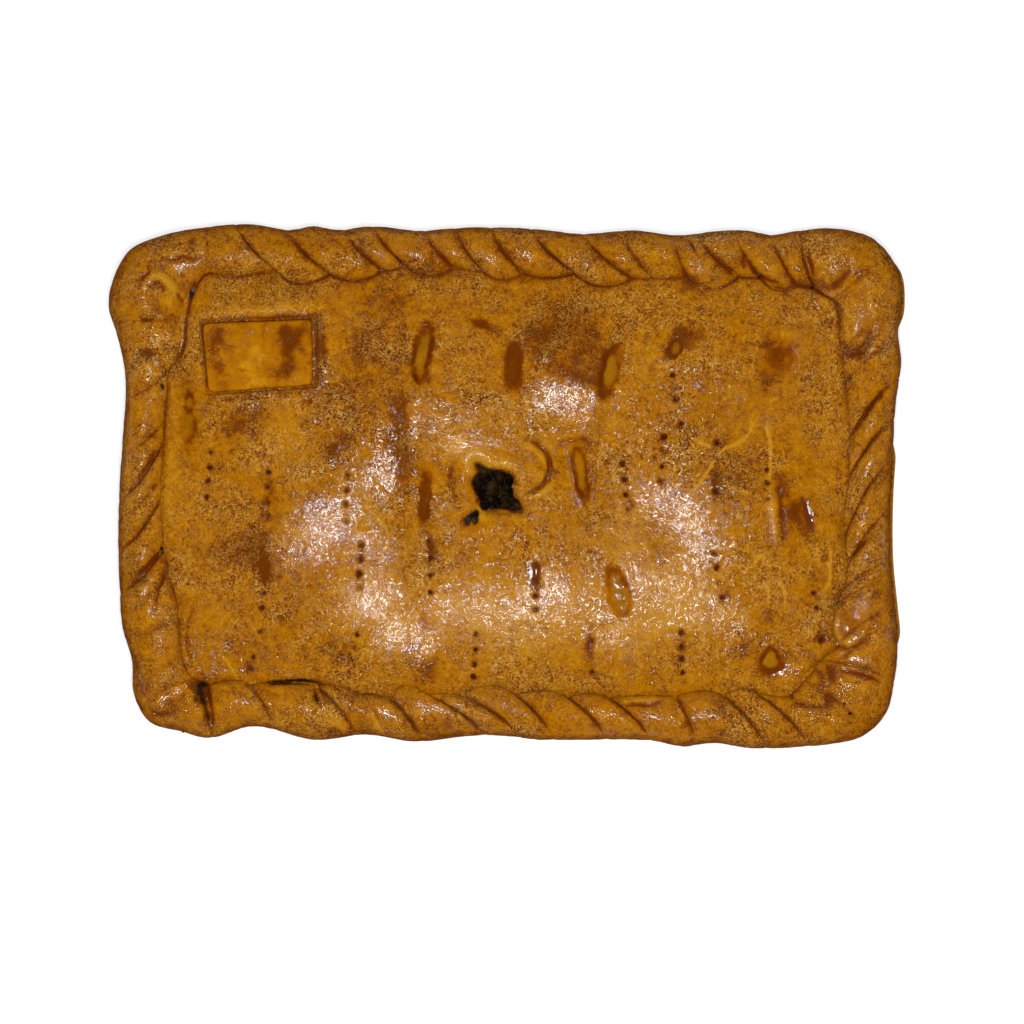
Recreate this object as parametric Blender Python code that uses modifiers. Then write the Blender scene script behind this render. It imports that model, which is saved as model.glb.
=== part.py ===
"""A cuttlefish empanada: a large rectangular savoury pie, about 395 by 261 mm.

The crust is a base sheet of bread dough, a lid of the same dough and a rope edge that was
twisted by hand from the two. The lid has steam slits, a torn vent and a bed that a small dough
tag was pressed into. The ink-black filling lies inside, and shows in the vent.

Metres, +Z up. The origin is on the table under the middle of the pie. +X is the long side.
"""

import math
from dataclasses import dataclass

import bmesh
import bpy
import numpy as np

MM = 0.001
SEED = 11

# Overall size
LENGTH = 394.5 * MM
WIDTH = 261.0 * MM

# The outer edge of the rope, clockwise from the top left corner. It is fitted to LENGTH and WIDTH.
OUTER_EDGE = MM * np.array(
    (
        # Top side, and the top right corner
        (-176, 122), (-146, 129), (-127, 130), (-88, 129), (-38, 128.5), (8, 128), (48, 126.5),
        (78, 127), (126, 126), (156, 128), (182, 124), (194.5, 107),
        # Right side, and the bottom right corner
        (195.5, 90), (195, 73), (197, 62), (194.5, 42), (193, 20), (191, -7), (191.5, -40),
        (194.5, -76), (194, -100), (184, -121), (172, -126),
        # Bottom side, and the bottom left corner
        (147, -130), (122, -130.5), (104, -128.5), (89, -130), (27, -126.5), (-2, -124.5),
        (-18, -124), (-50, -127), (-68, -124), (-94, -127), (-127, -119.5), (-149, -126),
        (-163, -121.5), (-176, -118), (-187, -101),
        # Left side
        (-186, -90), (-191, -73), (-193, -58), (-193, -2), (-190.5, 20), (-189.5, 50), (-193, 74),
        (-197.5, 88), (-195, 99), (-186.5, 117),
    )
)

# The line where the rope meets the lid, clockwise from the top left corner
INNER_EDGE = MM * np.array(
    (
        # Top side
        (-152, 104), (-140, 106), (-87, 107), (-22, 109), (9, 106.5), (40, 106), (100, 103),
        (119, 106), (133, 101), (152, 100), (165, 91),
        # Right side
        (166, 66), (170, 50), (171.5, 8), (168.5, -14), (169.5, -48), (163, -70), (165, -82),
        # Bottom side
        (155, -87), (145, -98), (141, -104), (128, -103), (84, -103.5), (52, -105), (4, -103.5),
        (-20, -100), (-48, -98), (-57, -105), (-72, -101), (-125, -98), (-148, -99),
        # Left side
        (-156, -93.5), (-162, -72), (-160, -63), (-167, -43), (-169.5, -6), (-168.5, 45),
        (-167, 57), (-160, 68), (-157, 92),
    )
)

# The creases between the twists of the rope, clockwise. Each pair is the place of the crease at
# the outer edge and at the lid: X along the top and bottom sides, Y along the left and right ones.
TOP_CREASES = (
    (-149, -149), (-134, -112), (-111, -87), (-82, -60), (-67, -48), (-38, -25), (-28, -8),
    (-8, 9), (10, 35), (36, 62), (58, 73), (87, 98), (94, 116), (114, 127), (132, 145),
    (147, 153),
)
RIGHT_CREASES = (
    (116, 93), (90, 67), (73, 53), (54, 23), (34, 5), (17, -25), (-12, -42), (-37, -51),
    (-46, -58), (-60, -78), (-97, -85),
)
BOTTOM_CREASES = (
    (184, 148), (153, 124), (131, 107), (97, 84), (74, 49), (51, 29), (24, 4), (9, -25),
    (-9, -50), (-41, -57), (-59, -72), (-74, -95), (-115, -127), (-145, -150),
)
LEFT_CREASES = (
    (-110, -95), (-95, -84), (-76, -63), (-66, -43), (-54, -30), (-33, -5), (-16, 4), (-7, 21),
    (16, 32), (43, 57), (68, 70), (83, 84),
)

# The rope's section: share of the way in from its outer edge, height above the table, and how
# much of a crease's depth reaches there
ROPE_SECTION = (
    (0.12, 2.0 * MM, 0.0), (0.00, 7.0 * MM, 0.0), (0.01, 13.0 * MM, 0.3),
    (0.10, 19.0 * MM, 0.8), (0.29, 23.3 * MM, 1.0), (0.50, 24.8 * MM, 1.0),
    (0.72, 23.6 * MM, 1.0), (0.90, 21.0 * MM, 0.8), (1.00, 18.2 * MM, 0.3),
    (0.95, 13.0 * MM, 0.0), (0.50, 2.5 * MM, 0.0),
)
CREASE_DEPTH = 3.6 * MM
CREASE_DEPTH_TO_TWIST = 0.22
OUTER_SCALLOP = 1.0 * MM
TIP_TO_TWIST = 0.2
TIP_MOST = 5.0 * MM
TWIST_ROWS = 4
TWIST_ROW_LENGTH = 6.5 * MM
TWIST_LEAN = 0.85
TWIST_ROUNDNESS = 0.6

# The end of the rope, coiled up on the top left corner, and its core
COIL_PLACE = (-173.0 * MM, 97.0 * MM, 23.8 * MM)
COIL_RADIUS = 6.0 * MM
COIL_THICKNESS = 5.6 * MM
COIL_SEGMENTS = (20, 8)

# Lid: height where it meets the rope, rise to the middle, and how flat the middle is
LID_EDGE = 18.5 * MM
LID_RISE = 8.0 * MM
LID_FLATNESS = 4.0
LID_HALF = (171.0 * MM, 106.0 * MM)
LID_THICKNESS = 5.5 * MM
LID_STEP = 8.0 * MM
LID_OUTLINE_POINTS = 96
WAVES = 7
WAVE_HEIGHT = 0.45 * MM
WAVE_LENGTHS = (45.0 * MM, 110.0 * MM)

# Base sheet: its thickness, how far it stays under the rope, how far it peeps out at the right
# side, and where along Y: the middle and half the length of each stretch
BASE_THICKNESS = 4.0 * MM
BASE_INSET = 1.3 * MM
BASE_OUTLINE_POINTS = 120
PEEP = 3.4 * MM
PEEP_STRETCHES = ((96.0 * MM, 17.0 * MM), (-29.0 * MM, 50.0 * MM))
PEEP_BLEND = 16.0 * MM
PEEP_FROM = 158.0 * MM

# Filling
CAVITY_INSET = 3.0 * MM
CAVITY_FLOOR = 5.0 * MM
CAVITY_STEP = 15.0 * MM
CAVITY_OUTLINE_POINTS = 72
GAP = 0.3 * MM

# Body under the lid, inside the rope
BODY_FOOT = 1.0 * MM
BODY_INSET = 10.0 * MM

# Torn vent and the small tear beside it
VENT = MM * np.array(
    (
        (-14.5, 11), (-7.5, 8), (3.5, 5), (4, -2), (8, -12), (0, -10.5), (-12, -10.5),
        (-14, -4), (-15.5, 2), (-13, 7),
    )
)
TEAR = MM * np.array(((-14.5, -13), (-20, -15), (-17.5, -21), (-14.5, -18)))
OPENING_FOOT = 14.0 * MM
OPENING_TOP = 40.0 * MM

# Dough tag and the bed that it was pressed into
TAG_CENTRE = (-122.3 * MM, 65.2 * MM)
TAG_SIZE = (53.0 * MM, 34.0 * MM)
TAG_CORNER = 3.5 * MM
TAG_THICKNESS = 2.8 * MM
TAG_BEVEL = 0.8 * MM
TAG_BEVEL_FROM = math.radians(50)
TAG_TURN = math.radians(3.6)
BED_MARGIN = (2.6 * MM, 1.2 * MM)
BED_SHIFT = 1.4 * MM
BED_HEIGHT = 24.4 * MM
BED_DEPTH = 3.2 * MM
BED_FLAT = 3.0 * MM
BED_BLEND = 14.0 * MM

# How far to each side a curve's direction is read, along a rough edge and for a smooth inset
DIRECTION_REACH = 1.5 * MM
INSET_REACH = 8.0 * MM
TRIM_MARGIN = 5.0 * MM
WELD = 0.01 * MM

# Colour and roughness of each finish
CRUST_FINISH = ((0.40, 0.14, 0.012, 1.0), 0.38)
TAG_FINISH = ((0.46, 0.18, 0.014, 1.0), 0.40)
FILLING_FINISH = ((0.012, 0.010, 0.007, 1.0), 0.25)


@dataclass(frozen=True)
class Swelling:
    """A blister or a hollow of the lid, as a smooth mound: place, half sizes, height and turn."""

    place: tuple[float, float]
    half: tuple[float, float]
    height: float
    turn: float = 0.0


@dataclass(frozen=True)
class Lump:
    """A flattened ball of dough that is pressed on: place, half sizes, height and turn."""

    place: tuple[float, float]
    half: tuple[float, float, float]
    height: float
    turn: float = 0.0


@dataclass(frozen=True)
class Slit:
    """A steam slit that baked shut, as a shallow lens: place, half sizes, lean and depth."""

    place: tuple[float, float]
    half: tuple[float, float]
    lean: float
    depth: float = 2.0 * MM


SWELLINGS = (
    Swelling((30 * MM, 68 * MM), (27 * MM, 32 * MM), 3.2 * MM),
    Swelling((-61 * MM, 46 * MM), (19 * MM, 38 * MM), 2.2 * MM),
    Swelling((-104 * MM, -31 * MM), (24 * MM, 22 * MM), 1.8 * MM),
    Swelling((-129 * MM, 26 * MM), (20 * MM, 13 * MM), 1.2 * MM),
    Swelling((92 * MM, -55 * MM), (45 * MM, 34 * MM), 1.2 * MM),
    Swelling((97 * MM, 32 * MM), (38 * MM, 38 * MM), 0.9 * MM),
    Swelling((-22 * MM, 4 * MM), (6 * MM, 9 * MM), 1.6 * MM),
    Swelling((18 * MM, 11 * MM), (9 * MM, 9 * MM), 2.0 * MM),
    Swelling((-45 * MM, 10 * MM), (6 * MM, 55 * MM), -1.5 * MM),
    Swelling((52 * MM, 34 * MM), (7 * MM, 36 * MM), -1.5 * MM, math.radians(-8)),
    Swelling((137 * MM, 62 * MM), (10 * MM, 11 * MM), -1.6 * MM),
)

LUMPS = {
    "coil_core": Lump(COIL_PLACE[:2], (3.6 * MM, 3.2 * MM, 3.2 * MM), 23.4 * MM),
    "tongue": Lump(
        (152.0 * MM, -98.6 * MM), (12.5 * MM, 9.0 * MM, 5.0 * MM), 19.0 * MM, math.radians(71)
    ),
}
BALL_SIDES = 14
BALL_RINGS = 8

SLITS = {
    "upper_middle": Slit((-41.7 * MM, 66.5 * MM), (5.0 * MM, 15.5 * MM), math.radians(-7)),
    "upper_right": Slit((51.2 * MM, 57.0 * MM), (4.5 * MM, 14.0 * MM), math.radians(-13)),
    "left": Slit((-157.0 * MM, 33.0 * MM), (4.0 * MM, 12.0 * MM), math.radians(-1)),
    "lower_right": Slit((56.0 * MM, -52.4 * MM), (5.5 * MM, 13.0 * MM), 0.0),
    "corner": Slit((131.2 * MM, -86.5 * MM), (5.0 * MM, 6.5 * MM), math.radians(20)),
    "narrow": Slit((-39.3 * MM, -4.5 * MM), (2.4 * MM, 13.0 * MM), math.radians(-4)),
    "gash": Slit((4.2 * MM, 61.0 * MM), (4.2 * MM, 12.0 * MM), math.radians(-3)),
    "slash": Slit((37.3 * MM, 6.2 * MM), (3.2 * MM, 16.0 * MM), math.radians(17)),
}
SLIT_SINK = 3.0


def smooth_loop(knots, steps=24):
    """A closed smooth curve through the knots, with the given number of steps to each gap."""
    ahead = np.roll(knots, -1, axis=0) - knots
    gap = np.linalg.norm(ahead, axis=1)[:, None]
    slope = ahead / gap
    gap_before = np.roll(gap, 1, axis=0)
    tangent = (slope * gap_before + np.roll(slope, 1, axis=0) * gap) / (gap + gap_before)
    after, tangent_after = np.roll(knots, -1, axis=0), np.roll(tangent, -1, axis=0)
    t = np.linspace(0.0, 1.0, steps, endpoint=False)[:, None, None]
    curve = (
        (2 * t**3 - 3 * t**2 + 1) * knots
        + (t**3 - 2 * t**2 + t) * gap * tangent
        + (3 * t**2 - 2 * t**3) * after
        + (t**3 - t**2) * gap * tangent_after
    )
    return curve.transpose(1, 0, 2).reshape(-1, 2)


class Loop:
    """A closed curve that is walked clockwise by its length."""

    def __init__(self, points):
        self.points = points
        self.closed = np.vstack((points, points[:1]))
        steps = np.linalg.norm(np.diff(self.closed, axis=0), axis=1)
        self.walked = np.concatenate(([0.0], np.cumsum(steps)))
        self.length = self.walked[-1]

    def at(self, s):
        """The point that lies s along the loop, where s may run past its end."""
        s = np.mod(s, self.length)
        x = np.interp(s, self.walked, self.closed[:, 0])
        y = np.interp(s, self.walked, self.closed[:, 1])
        return np.stack((x, y), axis=-1)

    def outward(self, s, reach=DIRECTION_REACH):
        """The unit vector that points out of the loop at s."""
        along = self.at(s + reach) - self.at(s - reach)
        out = np.stack((-along[..., 1], along[..., 0]), axis=-1)
        return out / np.linalg.norm(out, axis=-1, keepdims=True)

    def place(self, side, value):
        """How far along the loop a crease of one side lies, from its X or its Y."""
        half = np.abs(self.points).max(axis=0)
        x, y = (self.points / half).T
        on_side = {
            "top": y > np.abs(x), "bottom": -y > np.abs(x),
            "right": x >= np.abs(y), "left": -x >= np.abs(y),
        }[side]
        axis = 0 if side in ("top", "bottom") else 1
        away = np.abs(self.points[:, axis] - value)
        return self.walked[np.where(on_side, away, np.inf).argmin()]

    def inset(self, distance, count):
        """The loop drawn in by a distance, as a polygon of a given number of corners."""
        s = np.linspace(0.0, self.length, count, endpoint=False)
        return self.at(s) - distance * self.outward(s, reach=INSET_REACH)


def fitted_to_size(points):
    """The outline moved and stretched so that it measures LENGTH by WIDTH about the origin."""
    low, high = points.min(axis=0), points.max(axis=0)
    return (points - (low + high) / 2) * np.array((LENGTH, WIDTH)) / (high - low)


def window(distance, full, blend):
    """1 up to the full distance, falling smoothly to 0 over the blend."""
    t = np.clip(1.0 - (distance - full) / blend, 0.0, 1.0)
    return t * t * (3.0 - 2.0 * t)


def turned(x, y, place, turn):
    """X and Y as seen from a place, along axes turned by an angle."""
    dx, dy = x - place[0], y - place[1]
    return dx * math.cos(turn) + dy * math.sin(turn), dy * math.cos(turn) - dx * math.sin(turn)


def waves(x, y):
    """The gentle unevenness of rolled dough."""
    draw = np.random.default_rng(SEED)
    total = np.zeros_like(x)
    for _ in range(WAVES):
        heading, phase = draw.uniform(0.0, 2.0 * math.pi, 2)
        length = draw.uniform(*WAVE_LENGTHS)
        along = x * math.cos(heading) + y * math.sin(heading)
        total += WAVE_HEIGHT * np.sin(2.0 * math.pi * along / length + phase)
    return total


def pillow(x, y):
    """The lid's height without its blisters: a flat pillow that dips at the rope."""
    across = np.clip(np.abs(x) / LID_HALF[0], 0.0, 1.0) ** LID_FLATNESS
    down = np.clip(np.abs(y) / LID_HALF[1], 0.0, 1.0) ** LID_FLATNESS
    return LID_EDGE + LID_RISE * (1.0 - across) * (1.0 - down)


def lid_height(x, y):
    """The height of the lid's surface, with its blisters and the flat bed of the tag."""
    z = pillow(x, y) + waves(x, y)
    for swelling in SWELLINGS:
        dx, dy = turned(x, y, swelling.place, swelling.turn)
        z += swelling.height * np.exp(-((dx / swelling.half[0]) ** 2) - (dy / swelling.half[1]) ** 2)
    dx, dy = turned(x, y, TAG_CENTRE, TAG_TURN)
    outside = np.hypot(
        np.maximum(np.abs(dx) - TAG_SIZE[0] / 2, 0.0), np.maximum(np.abs(dy) - TAG_SIZE[1] / 2, 0.0)
    )
    bed = window(outside, BED_FLAT, BED_BLEND)
    return z * (1.0 - bed) + BED_HEIGHT * bed


def cavity_roof(x, y):
    """The height of the lid's underside, which follows the pillow and none of its blisters."""
    return pillow(x, y) - LID_THICKNESS


def material(name, colour, roughness):
    """A Principled material with one colour."""
    made = bpy.data.materials.new(name)
    made.use_nodes = True
    made.diffuse_color = colour
    shader = made.node_tree.nodes["Principled BSDF"]
    shader.inputs["Base Color"].default_value = colour
    shader.inputs["Roughness"].default_value = roughness
    return made


def collection(name):
    """A new collection of the scene."""
    made = bpy.data.collections.new(name)
    bpy.context.scene.collection.children.link(made)
    return made


def object_from(name, bm, home):
    """An object in a collection, from a bmesh that it uses up."""
    mesh = bpy.data.meshes.new(name)
    bm.to_mesh(mesh)
    bm.free()
    made = bpy.data.objects.new(name, mesh)
    home.objects.link(made)
    return made


def settled(obj):
    """The object with its modifiers applied, as a welded mesh of triangles."""
    bpy.context.view_layer.update()
    graph = bpy.context.evaluated_depsgraph_get()
    mesh = bpy.data.meshes.new_from_object(obj.evaluated_get(graph))
    bm = bmesh.new()
    bm.from_mesh(mesh)
    bmesh.ops.remove_doubles(bm, verts=bm.verts, dist=WELD)
    bmesh.ops.triangulate(bm, faces=bm.faces)
    bm.to_mesh(mesh)
    bm.free()
    name, home, place = obj.name, obj.users_collection[0], obj.matrix_world.copy()
    bpy.data.objects.remove(obj)
    solid = bpy.data.objects.new(name, mesh)
    home.objects.link(solid)
    solid.matrix_world = place
    return solid


def slab(name, outline, low, high, home):
    """An upright slab over a flat outline, from a filled 2D curve with an extrusion."""
    curve = bpy.data.curves.new(name, "CURVE")
    curve.dimensions = "2D"
    curve.fill_mode = "BOTH"
    curve.extrude = (high - low) / 2
    spline = curve.splines.new("POLY")
    spline.points.add(len(outline) - 1)
    spline.use_cyclic_u = True
    for point, (x, y) in zip(spline.points, outline):
        point.co = (x, y, 0.0, 1.0)
    made = bpy.data.objects.new(name, curve)
    made.location = (0.0, 0.0, (low + high) / 2)
    home.objects.link(made)
    return settled(made)


def rounded_rectangle(size, corner, arc_steps=4):
    """The outline of a rectangle with round corners, about the origin."""
    points = []
    for quarter, (sx, sy) in enumerate(((1, 1), (-1, 1), (-1, -1), (1, -1))):
        centre = (sx * (size[0] / 2 - corner), sy * (size[1] / 2 - corner))
        for step in range(arc_steps + 1):
            angle = math.pi / 2 * (quarter + step / arc_steps)
            points.append((centre[0] + corner * math.cos(angle), centre[1] + corner * math.sin(angle)))
    return points


def relief_block(name, half, step, top, low, home):
    """A block with a flat underside, whose top is a grid that follows a height function."""
    bm = bmesh.new()
    cells = [max(2, round(2 * side / step)) for side in half]
    bmesh.ops.create_grid(bm, x_segments=cells[0], y_segments=cells[1], size=1.0)
    for vertex in bm.verts:
        x, y = vertex.co.x * half[0], vertex.co.y * half[1]
        vertex.co = (x, y, float(top(np.array(x), np.array(y))))
    made = bmesh.ops.extrude_face_region(bm, geom=bm.faces[:])
    for item in made["geom"]:
        if isinstance(item, bmesh.types.BMVert):
            item.co.z = low
    bmesh.ops.recalc_face_normals(bm, faces=bm.faces)
    bmesh.ops.triangulate(bm, faces=bm.faces)
    return object_from(name, bm, home)


def boolean(obj, name, operation, other):
    """A Boolean modifier against one object or against a collection."""
    modifier = obj.modifiers.new(name, "BOOLEAN")
    modifier.operation = operation
    modifier.solver = "EXACT"
    if isinstance(other, bpy.types.Collection):
        modifier.operand_type = "COLLECTION"
        modifier.collection = other
    else:
        modifier.object = other
    return modifier


def trimmed(block, outline, home):
    """A relief block cut to an outline."""
    low = min(corner[2] for corner in block.bound_box) - TRIM_MARGIN
    high = max(corner[2] for corner in block.bound_box) + TRIM_MARGIN
    frame = slab(f"{block.name}_outline", outline, low, high, home)
    boolean(block, "Trim", "INTERSECT", frame)
    block = settled(block)
    bpy.data.objects.remove(frame)
    return block


def creases(outer, inner):
    """How far along the two loops each crease lies, clockwise and always further on."""
    sides = {
        "top": TOP_CREASES, "right": RIGHT_CREASES, "bottom": BOTTOM_CREASES, "left": LEFT_CREASES,
    }
    places = np.array(
        [
            (outer.place(side, out * MM), inner.place(side, lid * MM))
            for side, pairs in sides.items()
            for out, lid in pairs
        ]
    )
    for column, loop in enumerate((outer, inner)):
        places[:, column] = np.mod(places[:, column] - places[0, column], loop.length) + places[0, column]
    return np.vstack((places, places[0] + (outer.length, inner.length)))


def rope(outer, inner, home):
    """The twisted rope edge: one ring of twists, lofted between the outer edge and the lid's edge."""
    places = creases(outer, inner)
    rings = []
    for start, end in zip(places[:-1], places[1:]):
        twist = (end - start).mean()
        depth = min(CREASE_DEPTH, CREASE_DEPTH_TO_TWIST * twist)
        tip = min(TIP_MOST, TIP_TO_TWIST * twist)
        rows = max(TWIST_ROWS, round(twist / TWIST_ROW_LENGTH))
        for share in np.arange(rows) / rows:
            s_out, s_in = start + (end - start) * share
            fullness = math.sin(math.pi * share**TWIST_LEAN) ** TWIST_ROUNDNESS if share else 0.0
            edge = outer.at(s_out) - OUTER_SCALLOP * (1.0 - fullness) * outer.outward(s_out)
            lid_edge = inner.at(s_in) - tip * fullness * inner.outward(s_in)
            ring = []
            for across, height, cut in ROPE_SECTION:
                x, y = edge + (lid_edge - edge) * across
                ring.append((x, y, height - depth * cut * (1.0 - fullness)))
            rings.append(ring)
    bm = bmesh.new()
    rows = [[bm.verts.new(point) for point in ring] for ring in rings]
    for row, after in zip(rows, rows[1:] + rows[:1]):
        for i in range(len(row)):
            j = (i + 1) % len(row)
            bm.faces.new((row[i], row[j], after[j], after[i]))
    bmesh.ops.recalc_face_normals(bm, faces=bm.faces)
    bmesh.ops.triangulate(bm, faces=bm.faces)
    return object_from("rope", bm, home)


def ball(name, half, home):
    """A squashed sphere about the origin."""
    bm = bmesh.new()
    bmesh.ops.create_uvsphere(bm, u_segments=BALL_SIDES, v_segments=BALL_RINGS, radius=1.0)
    bmesh.ops.scale(bm, vec=half, verts=bm.verts)
    bmesh.ops.triangulate(bm, faces=bm.faces)
    return object_from(name, bm, home)


def rope_ends(home):
    """The coiled end of the rope on one corner, and its flattened end on the opposite corner."""
    bpy.ops.mesh.primitive_torus_add(
        major_segments=COIL_SEGMENTS[0], minor_segments=COIL_SEGMENTS[1],
        major_radius=COIL_RADIUS, minor_radius=COIL_THICKNESS / 2, location=COIL_PLACE,
    )
    coil = bpy.context.object
    coil.name = "coil"
    for old_home in list(coil.users_collection):
        old_home.objects.unlink(coil)
    home.objects.link(coil)
    for name, lump in LUMPS.items():
        made = ball(name, lump.half, home)
        made.location = (*lump.place, lump.height)
        made.rotation_euler = (0.0, 0.0, lump.turn)


def base_outline(outer):
    """The outline of the base sheet, which peeps out from under the rope at the right."""
    points = outer.inset(BASE_INSET, BASE_OUTLINE_POINTS)
    peep = sum(
        window(np.abs(points[:, 1] - middle), half - PEEP_BLEND / 2, PEEP_BLEND)
        for middle, half in PEEP_STRETCHES
    )
    points[:, 0] += np.where(points[:, 0] > PEEP_FROM, PEEP * peep, 0.0)
    return points


def cutter_from(obj, cutters):
    """An object moved to the cutters and marked as a helper."""
    for home in list(obj.users_collection):
        home.objects.unlink(obj)
    cutters.objects.link(obj)
    obj.hide_render = True
    obj.display_type = "WIRE"
    return obj


def lens_cutter(name, slit, cutters):
    """A squashed sphere, sunk into the lid so that it cuts a shallow lens of the slit's size."""
    sink = SLIT_SINK * slit.depth
    spread = 1.0 / math.sqrt(1.0 - (1.0 - slit.depth / sink) ** 2)
    lens = ball(f"{name}_lens", (slit.half[0] * spread, slit.half[1] * spread, sink), cutters)
    surface = float(lid_height(np.array(slit.place[0]), np.array(slit.place[1])))
    lens.location = (*slit.place, surface + sink - slit.depth)
    lens.rotation_euler = (0.0, 0.0, slit.lean)
    return cutter_from(lens, cutters)


def bed_cutter(cutters):
    """The cutter of the shallow bed that holds the dough tag."""
    size = [side + 2 * margin for side, margin in zip(TAG_SIZE, BED_MARGIN)]
    outline = rounded_rectangle(size, TAG_CORNER)
    bed = slab("tag_bed", outline, BED_HEIGHT - BED_DEPTH, BED_HEIGHT + BED_DEPTH, cutters)
    bed.location.x = TAG_CENTRE[0] + BED_SHIFT
    bed.location.y = TAG_CENTRE[1]
    bed.rotation_euler = (0.0, 0.0, TAG_TURN)
    return cutter_from(bed, cutters)


def joined_dough(outer, home):
    """The base sheet, the body under the lid and the rope edge, joined into one solid."""
    pieces = collection("dough_pieces")
    sheet = slab("crust", base_outline(outer), 0.0, BASE_THICKNESS, home)
    block = relief_block("body", (LENGTH / 2, WIDTH / 2), LID_STEP, lid_height, BODY_FOOT, pieces)
    trimmed(block, outer.inset(BODY_INSET, LID_OUTLINE_POINTS), pieces)
    rope(outer, Loop(smooth_loop(INNER_EDGE)), pieces)
    rope_ends(pieces)
    boolean(sheet, "Join dough", "UNION", pieces)
    solid = settled(sheet)
    for piece in list(pieces.objects):
        bpy.data.objects.remove(piece)
    bpy.data.collections.remove(pieces)
    return solid


def filling_block(name, gap, home):
    """The inside of the pie under the lid, drawn in by a gap on every side."""

    def roof(x, y):
        return cavity_roof(x, y) - gap

    block = relief_block(name, LID_HALF, CAVITY_STEP, roof, CAVITY_FLOOR + gap, home)
    inner = Loop(smooth_loop(INNER_EDGE))
    return trimmed(block, inner.inset(CAVITY_INSET + gap, CAVITY_OUTLINE_POINTS), home)


def crust(outer, home, cutters):
    """The crust: the joined dough, hollow for the filling, with its vent, tag bed and slits."""
    solid = joined_dough(outer, home)
    solid.data.materials.append(material("baked_crust", *CRUST_FINISH))
    cavity = cutter_from(filling_block("cavity", 0.0, cutters), cutters)
    boolean(solid, "Hollow for the filling", "DIFFERENCE", cavity)
    openings = [
        cutter_from(slab(name, outline, OPENING_FOOT, OPENING_TOP, cutters), cutters)
        for name, outline in (("vent", VENT), ("tear", TEAR))
    ]
    lenses = [lens_cutter(name, slit, cutters) for name, slit in SLITS.items()]
    for cutter in (*openings, bed_cutter(cutters), *lenses):
        boolean(solid, f"Cut {cutter.name}", "DIFFERENCE", cutter)
    return solid


def filling(home):
    """The ink-black filling that runs under the whole lid."""
    solid = filling_block("filling", GAP, home)
    solid.data.materials.append(material("ink_filling", *FILLING_FINISH))
    return solid


def tag(home):
    """The small dough tag in its bed, with rounded edges."""
    low = BED_HEIGHT - BED_DEPTH + GAP
    solid = slab("dough_tag", rounded_rectangle(TAG_SIZE, TAG_CORNER), low, low + TAG_THICKNESS, home)
    solid.location.x, solid.location.y = TAG_CENTRE
    solid.rotation_euler = (0.0, 0.0, TAG_TURN)
    edges = solid.modifiers.new("Soft edges", "BEVEL")
    edges.width = TAG_BEVEL
    edges.segments = 2
    edges.limit_method = "ANGLE"
    edges.angle_limit = TAG_BEVEL_FROM
    solid.data.materials.append(material("baked_tag", *TAG_FINISH))
    return solid


def main():
    """Clears the scene and models the empanada."""
    for obj in list(bpy.data.objects):
        bpy.data.objects.remove(obj)
    home = collection("cuttlefish_empanada")
    cutters = collection("cutters")
    outer = Loop(fitted_to_size(smooth_loop(OUTER_EDGE)))
    empanada = bpy.data.objects.new("empanada", None)
    home.objects.link(empanada)
    for solid in (crust(outer, home, cutters), filling(home), tag(home)):
        solid.parent = empanada


main()
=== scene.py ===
"""The looks of a cuttlefish empanada: a large golden pie of bread dough with a twisted rope edge.

The lid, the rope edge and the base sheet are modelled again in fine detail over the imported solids,
with the blisters, steam slits, fork pricks and torn vent that baking and the cook left. The filling
shows ink-black in the vent. Sizes and places are in millimetres and become metres in the meshes.
"""

import logging
import math
from dataclasses import dataclass, field
from enum import Enum
from functools import partial

import bmesh
import bpy
import numpy as np
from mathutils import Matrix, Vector
from mathutils.geometry import delaunay_2d_cdt
from mathutils.kdtree import KDTree


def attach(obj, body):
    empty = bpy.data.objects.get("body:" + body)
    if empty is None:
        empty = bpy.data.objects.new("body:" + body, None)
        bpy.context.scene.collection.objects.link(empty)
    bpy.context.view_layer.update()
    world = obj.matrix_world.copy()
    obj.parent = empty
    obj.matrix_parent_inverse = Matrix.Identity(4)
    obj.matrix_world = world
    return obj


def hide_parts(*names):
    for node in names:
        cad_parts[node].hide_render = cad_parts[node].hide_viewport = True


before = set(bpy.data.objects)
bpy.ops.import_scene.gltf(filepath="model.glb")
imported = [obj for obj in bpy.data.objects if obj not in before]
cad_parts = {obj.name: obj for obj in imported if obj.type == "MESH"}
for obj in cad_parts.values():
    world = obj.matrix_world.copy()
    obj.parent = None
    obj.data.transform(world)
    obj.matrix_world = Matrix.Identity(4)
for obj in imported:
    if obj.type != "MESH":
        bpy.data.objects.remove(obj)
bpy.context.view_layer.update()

LOG = logging.getLogger("empanada")
MM = 0.001
SEED = 11
LATTICE = 400

Array = np.ndarray
Pair = tuple[float, float]
Material, Mesh, Node = bpy.types.Material, bpy.types.Mesh, bpy.types.Node
Obj, Tree = bpy.types.Object, bpy.types.NodeTree

# The node types that come up more than once
MATH, VECTOR_MATH = "ShaderNodeMath", "ShaderNodeVectorMath"
NOISE, MAP_RANGE = "ShaderNodeTexNoise", "ShaderNodeMapRange"
RANDOM, INSTANCES = "FunctionNodeRandomValue", "GeometryNodeInstanceOnPoints"

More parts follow.
